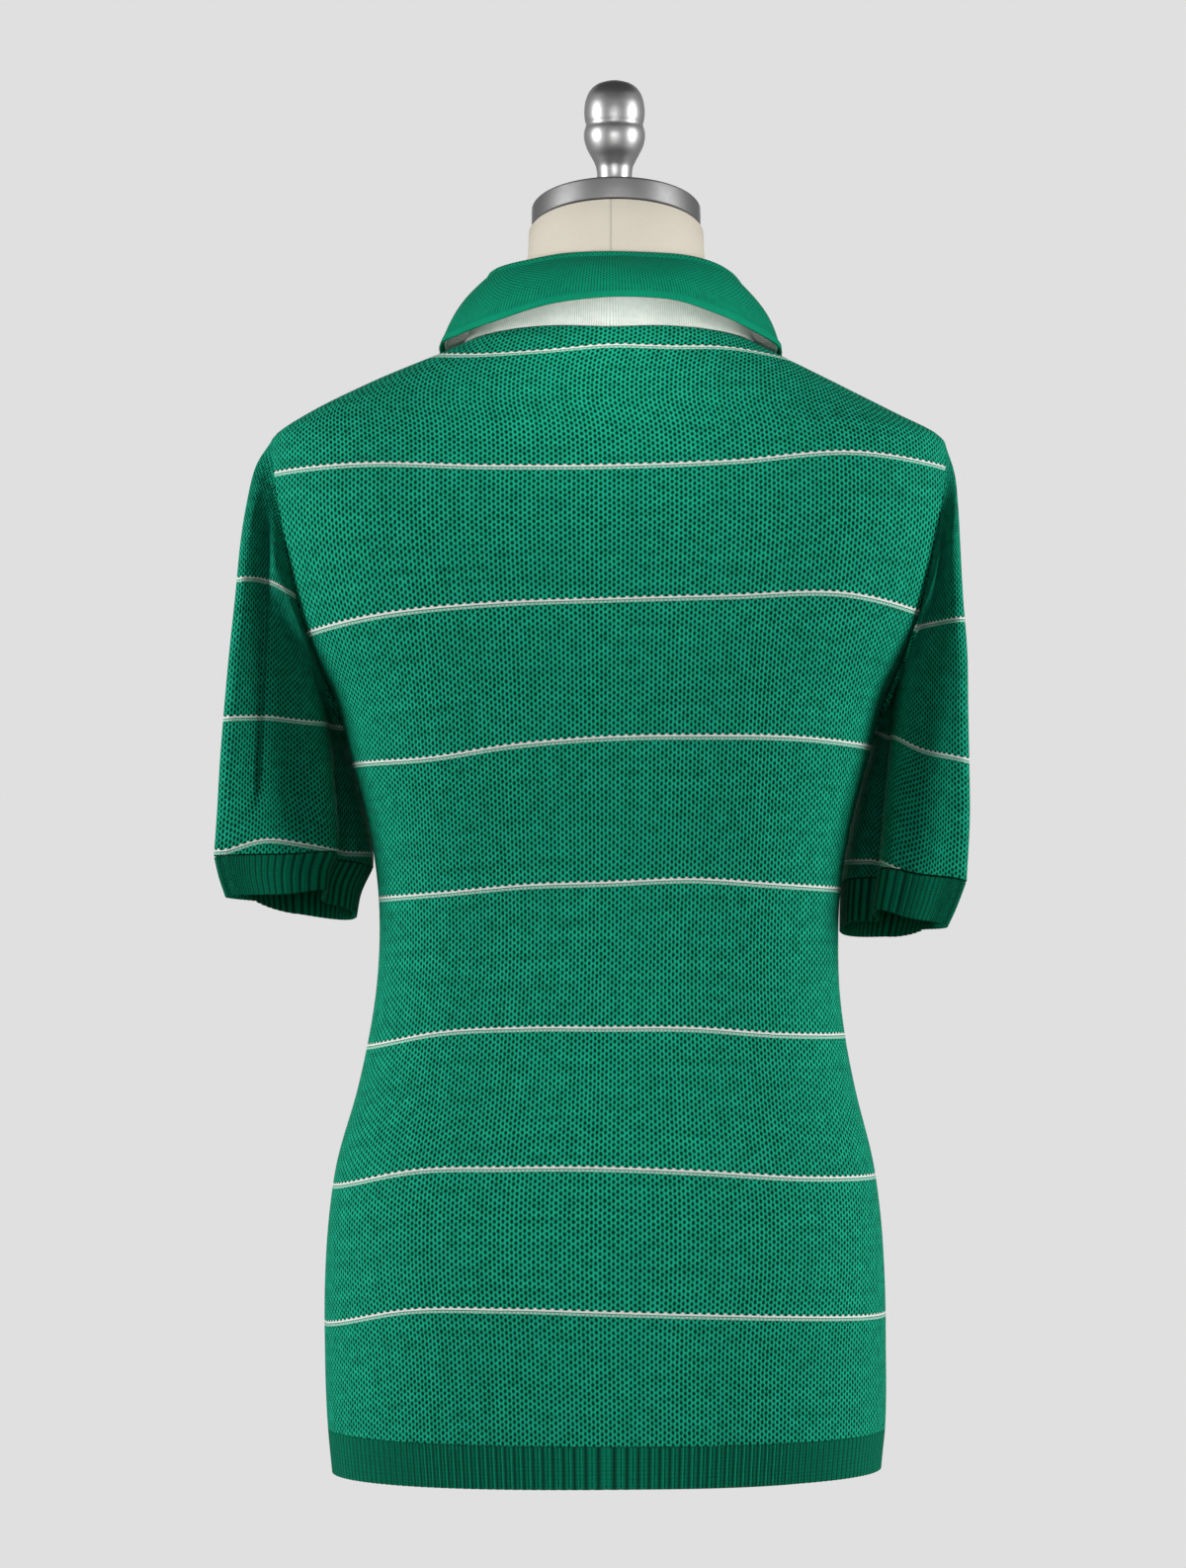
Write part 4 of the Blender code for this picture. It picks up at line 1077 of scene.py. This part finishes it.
# %% [markdown]
# ## The dress form
# The form is the body's own surface, moved in under the cloth, cut flat at the arms and drawn in at its
# foot. Above the shoulders its rings grow into a round neck. The cover is cream cloth with one seam up the
# back.

# %% The covered form
NECK_X, NECK_Y, NECK_RADIUS = -0.004, -0.002, 0.0550
CAP_TOP, CAP_THICK, CAP_RADIUS, CAP_SLOPE = 0.7890, 0.0140, 0.0530, 0.240
# the round neck's root and how much wider it is there, and the flat plates that close the arms
NECK_ROOT, ROOT_EXTRA, ARM_PLATE = 0.742, 0.0007, 0.1870
# the gap between the cover and the cloth
COVER_GAP = 0.0010


def neck_ring(radius, height, follow, angles):
    """A round ring of the neck. follow is how much of the cap's slope it takes, 0 to 1."""
    x, y = NECK_X + radius * np.cos(angles), NECK_Y + radius * np.sin(angles)
    return np.stack([x, y, height + follow * CAP_SLOPE * (y - NECK_Y)], axis=-1)


def from_neck(ring):
    """The level way from the neck's middle line to each point, and its length."""
    away = (ring - np.array((NECK_X, NECK_Y, 0.0))) * (1, 1, 0)
    return away, np.linalg.norm(away, axis=1, keepdims=True)


def outside_neck(ring, height):
    """Every point at least as far out as the round neck, which flares towards its root."""
    radius = NECK_RADIUS + ROOT_EXTRA + 0.9 * max(0.0, 0.745 - height) ** 2
    away, reach = from_neck(ring)
    soft = np.maximum(0.006 - np.abs(radius - reach), 0.0) ** 2 / 0.024
    return ring + away / reach * (np.maximum(0.0, radius - reach) + soft)


# height, how far the foot is drawn in there
FOOT = (
    (0.0, 0.0260), (0.0015, 0.0215), (0.003, 0.0170),
    (0.006, 0.0115), (0.011, 0.0070), (0.024, 0.0030),
)


def form_rings(angles):
    """The rings from the foot to under the cap."""
    levels = [z for z, _inset in FOOT] + list(np.linspace(0.04, 0.70, 90))
    body = body_points(angles[None], np.array(levels)[:, None])
    normals = outward_normals(body)
    rings = []
    for number, z in enumerate(levels):
        inset = FOOT[number][1] if number < len(FOOT) else 0.0
        inset += 0.0022 * ease((z - 0.470) / 0.02) + 0.0020 * ease((z - SHOULDER) / 0.03)
        ring = body[number] - normals[number] * (KNIT_THICK + COVER_GAP + inset)
        if number < len(FOOT):
            ring[:, 2] = z
        ring[:, 0] = np.clip(ring[:, 0], -ARM_PLATE, ARM_PLATE)
        rings.append(outside_neck(ring, z) if z > 0.64 else ring)
    last = rings[-1]
    for share in np.linspace(0.06, 1, 14):
        ring = last * (1 - share) + neck_ring(NECK_RADIUS + ROOT_EXTRA, NECK_ROOT, 0.0, angles) * share
        ring[:, 2] = last[:, 2] + (NECK_ROOT - last[:, 2]) * share**1.25
        # drawn in where it passes the collar's stand
        away, reach = from_neck(ring)
        ring -= away / reach * (0.0012 * ease((ring[:, 2:3] - 0.699) / 0.006))
        rings.append(outside_neck(ring, min(NECK_ROOT, float(ring[:, 2].mean()))))
    under = CAP_TOP - CAP_THICK
    rings.append(neck_ring(NECK_RADIUS + 0.0003, under - 0.014, 0.6, angles))
    rings.append(neck_ring(NECK_RADIUS - 0.0003, under - 0.0018, 0.98, angles))
    rings.append(neck_ring(NECK_RADIUS - 0.0014, under - 0.0006, 1.0, angles))
    return np.array(rings)


def add_form():
    """The rings joined to a skin, closed with one face at the foot and one under the cap."""
    rings = form_rings(ring_angles(176))
    rows, columns = rings.shape[:2]
    faces = [
        tuple(r * columns + c % columns for r, c in cell_corners(row, column))
        for row in range(rows - 1)
        for column in range(columns)
    ]
    faces.append(tuple(range(columns))[::-1])
    faces.append(tuple(range((rows - 1) * columns, rows * columns)))
    mesh = bpy.data.meshes.new("covered_form")
    mesh.from_pydata(rings.reshape(-1, 3).tolist(), [], faces)
    form = new_piece("covered_form", mesh)
    bpy.ops.object.shade_smooth_by_angle(angle=0.9)
    return form


cream_cover, tree, shader = material("cream cover cloth")
coords = tree.nodes.new("ShaderNodeTexCoord").outputs["Object"]
parts = split(tree, coords)
weave = times(tree, wave(tree, parts["X"], 900.0), wave(tree, parts["Z"], 900.0))
behind = soft_step(tree, parts["Y"], 0.0, 0.01)
from_seam = calc(tree, "ABSOLUTE", calc(tree, "ADD", parts["X"], 0.0007))
seam = times(tree, soft_step(tree, from_seam, 0.0009, 0.0002), behind)
cloud = noise(tree, coords, 35.0)
tone = blend(tree, cloud, (0.54, 0.50, 0.42, 1), (0.59, 0.54, 0.46, 1))
feed(tree, shader.inputs["Base Color"], blend(tree, seam, tone, (0.45, 0.41, 0.34, 1)))
shader.inputs["Roughness"].default_value = 0.9
shader.inputs["Specular IOR Level"].default_value = 0.15
relief = calc(tree, "SUBTRACT", times(tree, weave, 0.15), seam)
bump(tree, shader, relief, 0.0006)
form = add_form()
add_piece(form, cream_cover, "form_body")

# %% [markdown]
# ## The cap and its knob
# The cap is a disc with a rounded rim that leans forward with the neck. The knob is a turned profile.

# %% The metal cap and the turned knob
# height above the cap, radius
KNOB = (
    (0.0004, 0.0140), (0.0040, 0.0138), (0.0052, 0.0112), (0.0140, 0.0108), (0.0200, 0.0110),
    (0.0263, 0.0118), (0.0306, 0.0138), (0.0368, 0.0172), (0.0410, 0.0187), (0.0448, 0.0194),
    (0.0491, 0.0191), (0.0526, 0.0181), (0.0555, 0.0188), (0.0592, 0.0192), (0.0634, 0.0191),
    (0.0676, 0.0184), (0.0738, 0.0157), (0.0770, 0.0128), (0.0793, 0.0085), (0.0805, 0.0040),
)


def add_cap():
    """A disc with a rounded rim, tipped forward."""
    bpy.ops.object.select_all(action="DESELECT")
    bpy.ops.mesh.primitive_cylinder_add(vertices=160, radius=CAP_RADIUS, depth=CAP_THICK)
    cap = bpy.context.object
    cap.name = "cap_plate"
    round_edges(cap, "rounded rim", 0.0016, 5)
    for vertex in cap.data.vertices:
        vertex.co.z += CAP_SLOPE * vertex.co.y
    cap.location = (NECK_X, NECK_Y, CAP_TOP - CAP_THICK / 2)
    bpy.ops.object.transform_apply(location=True, rotation=True, scale=True)
    bpy.ops.object.shade_smooth_by_angle(angle=0.5)
    return cap


def add_knob():
    """The profile turned round on a lathe. Its foot follows the cap's slope."""
    heights = np.concatenate([[0.0004, 0.0022], np.linspace(0.0040, 0.0805, 90)])
    radii = read_table(KNOB, heights)[..., 0]
    outline = [(0.0, 0.0, 0.0004)] + [(r, 0.0, h) for h, r in zip(heights, radii)] + [(0.0, 0.0, 0.0812)]
    mesh = bpy.data.meshes.new("turned_knob")
    mesh.from_pydata(outline, [(i, i + 1) for i in range(len(outline) - 1)], [])
    knob = new_piece("turned_knob", mesh)
    lathe = knob.modifiers.new("lathe", "SCREW")
    lathe.axis, lathe.angle, lathe.steps, lathe.render_steps = "Z", 2 * pi, 96, 96
    lathe.use_merge_vertices, lathe.merge_threshold = True, 1e-6
    bpy.ops.object.modifier_apply(modifier=lathe.name)
    bpy.ops.object.mode_set(mode="EDIT")
    bpy.ops.mesh.select_all(action="SELECT")
    bpy.ops.mesh.remove_doubles(threshold=1e-6)
    bpy.ops.mesh.normals_make_consistent(inside=False)
    bpy.ops.object.mode_set(mode="OBJECT")
    for vertex in knob.data.vertices:
        vertex.co.z += (1 - ease(vertex.co.z / 0.016)) * CAP_SLOPE * vertex.co.y
    knob.location = (-0.003, NECK_Y, CAP_TOP)
    bpy.ops.object.transform_apply(location=True, rotation=True, scale=True)
    bpy.ops.object.shade_smooth_by_angle(angle=0.6)
    return knob


def metal_finish(name, rough, tone):
    """A grey metal with faint marks in its shine."""
    made, tree, shader = material(name)
    coords = tree.nodes.new("ShaderNodeTexCoord").outputs["Object"]
    marks = noise(tree, coords, 260.0, 4.0)
    feed(tree, shader.inputs["Roughness"], scaled(tree, marks, 0.10, rough - 0.05))
    shader.inputs["Base Color"].default_value = (tone, tone, tone, 1)
    shader.inputs["Metallic"].default_value = 1.0
    return made


add_piece(add_cap(), metal_finish("satin metal", 0.52, 0.155), "neck_cap")
add_piece(add_knob(), metal_finish("polished metal", 0.40, 0.34), "cap_knob")

# %% [markdown]
# ## The flat sizes
# Each cloth piece was knitted flat and then sewn and hung on the form.

# %% [markdown]
# ## The studio
# A shirt on a form is lit from both sides by large soft lamps, so that the knit shows its holes without
# hard shadows. The sweep round it is one sheet, floor and wall together, so no corner shows from any side.

# %% A round pale sweep, four soft lamps, two spots on the collar and an even fill


FLOOR_RADIUS, FLOOR_BELOW, CURVE_STEPS, CURVE_STEP, WALL_HEIGHT = 5.5, 0.0004, 8, 0.25, 5.0


def add_sweep():
    """A round floor whose rim curves up into a wall, so that every view has the same plain ground."""
    bpy.ops.object.select_all(action="DESELECT")
    below = (0, 0, -FLOOR_BELOW)
    bpy.ops.mesh.primitive_circle_add(vertices=128, radius=FLOOR_RADIUS, fill_type="NOTHING", location=below)
    floor = bpy.context.object
    floor.name = "sweep"
    bpy.ops.object.transform_apply(location=True, rotation=False, scale=False)
    bpy.ops.object.mode_set(mode="EDIT")
    radius = FLOOR_RADIUS
    for turn in range(CURVE_STEPS):
        angle = radians(90 * (turn + 0.5) / CURVE_STEPS)
        bpy.ops.mesh.extrude_edges_move(TRANSFORM_OT_translate={"value": (0, 0, CURVE_STEP * sin(angle))})
        wider = radius + CURVE_STEP * cos(angle)
        bpy.ops.transform.resize(value=(wider / radius, wider / radius, 1))
        radius = wider
    bpy.ops.mesh.extrude_edges_move(TRANSFORM_OT_translate={"value": (0, 0, WALL_HEIGHT)})
    bpy.ops.mesh.select_all(action="DESELECT")
    bpy.ops.object.mode_set(mode="OBJECT")
    for vertex in floor.data.vertices:
        vertex.select = vertex.co.z < 0.0
    bpy.ops.object.mode_set(mode="EDIT")
    bpy.ops.mesh.edge_face_add()
    bpy.ops.mesh.select_all(action="SELECT")
    bpy.ops.mesh.normals_make_consistent(inside=True)
    bpy.ops.object.mode_set(mode="OBJECT")
    clean_selection(floor)
    bpy.ops.object.shade_smooth_by_angle(angle=0.6)
    return floor


# the paper glows and takes no light, so no lamp or shadow marks it
sweep = add_sweep()
paper, tree, shader = material("pale paper")
shader.inputs["Base Color"].default_value = (0, 0, 0, 1)
shader.inputs["Roughness"].default_value = 1.0
shader.inputs["Specular IOR Level"].default_value = 0.0
shader.inputs["Emission Strength"].default_value = 1.0
path = tree.nodes.new("ShaderNodeLightPath")
mirrored = blend(tree, path.outputs["Is Glossy Ray"], (0.09, 0.09, 0.09, 1), (0.45, 0.45, 0.45, 1))
glow = blend(tree, path.outputs["Is Camera Ray"], mirrored, (0.744, 0.744, 0.744, 1))
feed(tree, shader.inputs["Emission Color"], glow)
sweep.data.materials.append(paper)


WAIST = (0, 0, 0.45)


def add_lamp(name, place, aim, size, watts):
    """A square area lamp that faces a point."""
    bpy.ops.object.light_add(type="AREA", location=place)
    lamp = bpy.context.object
    lamp.name = name
    lamp.data.shape = "RECTANGLE"
    lamp.data.size, lamp.data.size_y = size
    lamp.data.energy = watts
    away = np.array(aim) - np.array(place)
    lamp.rotation_euler = (atan2(np.hypot(away[0], away[1]), -away[2]), 0, atan2(away[1], away[0]) - pi / 2)
    return lamp


add_lamp("left lamp", (3.2, 1.15, 0.8), WAIST, (1.1, 1.8), 118)
add_lamp("right lamp", (-3.2, 1.15, 0.8), WAIST, (1.1, 1.8), 118)
add_lamp("front lamp", (0, 3.8, 0.75), WAIST, (1.8, 1.0), 18)
add_lamp("far lamp", (0, -3.6, 1.0), WAIST, (2.4, 1.6), 40)
# a narrow spot for each half of the collar, from low down behind the camera
for side in (1, -1):
    bpy.ops.object.light_add(type="SPOT", location=(0.045 * side, 3.2, 0.15))
    collar_lamp = bpy.context.object
    collar_lamp.name = "collar lamp"
    collar_lamp.data.energy = 420
    collar_lamp.data.spot_size, collar_lamp.data.spot_blend = radians(2.7), 1.0
    collar_lamp.data.shadow_soft_size = 0.10
    collar_lamp.rotation_euler = (atan2(3.12, -0.570), 0, pi)

bpy.context.scene.view_settings.view_transform = "Standard"
world = bpy.data.worlds.new("even fill")
bpy.context.scene.world = world
world.use_nodes = True
world.node_tree.nodes["Background"].inputs["Color"].default_value = (1, 1, 1, 1)
world.node_tree.nodes["Background"].inputs["Strength"].default_value = 0.09

# %% [markdown]
# ## The camera
# It stands level with the shirt's waist, three metres from the body, and looks a little up so that the
# whole form is in the frame.

# %% A long lens at waist height
camera_data = bpy.data.cameras.new("camera")
camera_data.sensor_width = 36
camera_data.lens = 110.36
camera = bpy.data.objects.new("camera", camera_data)
bpy.context.scene.collection.objects.link(camera)
camera.location = (0, 3.0, 0.344)
camera.rotation_euler = (radians(90 + 1.61), 0, radians(180 + 0.2))
bpy.context.scene.camera = camera
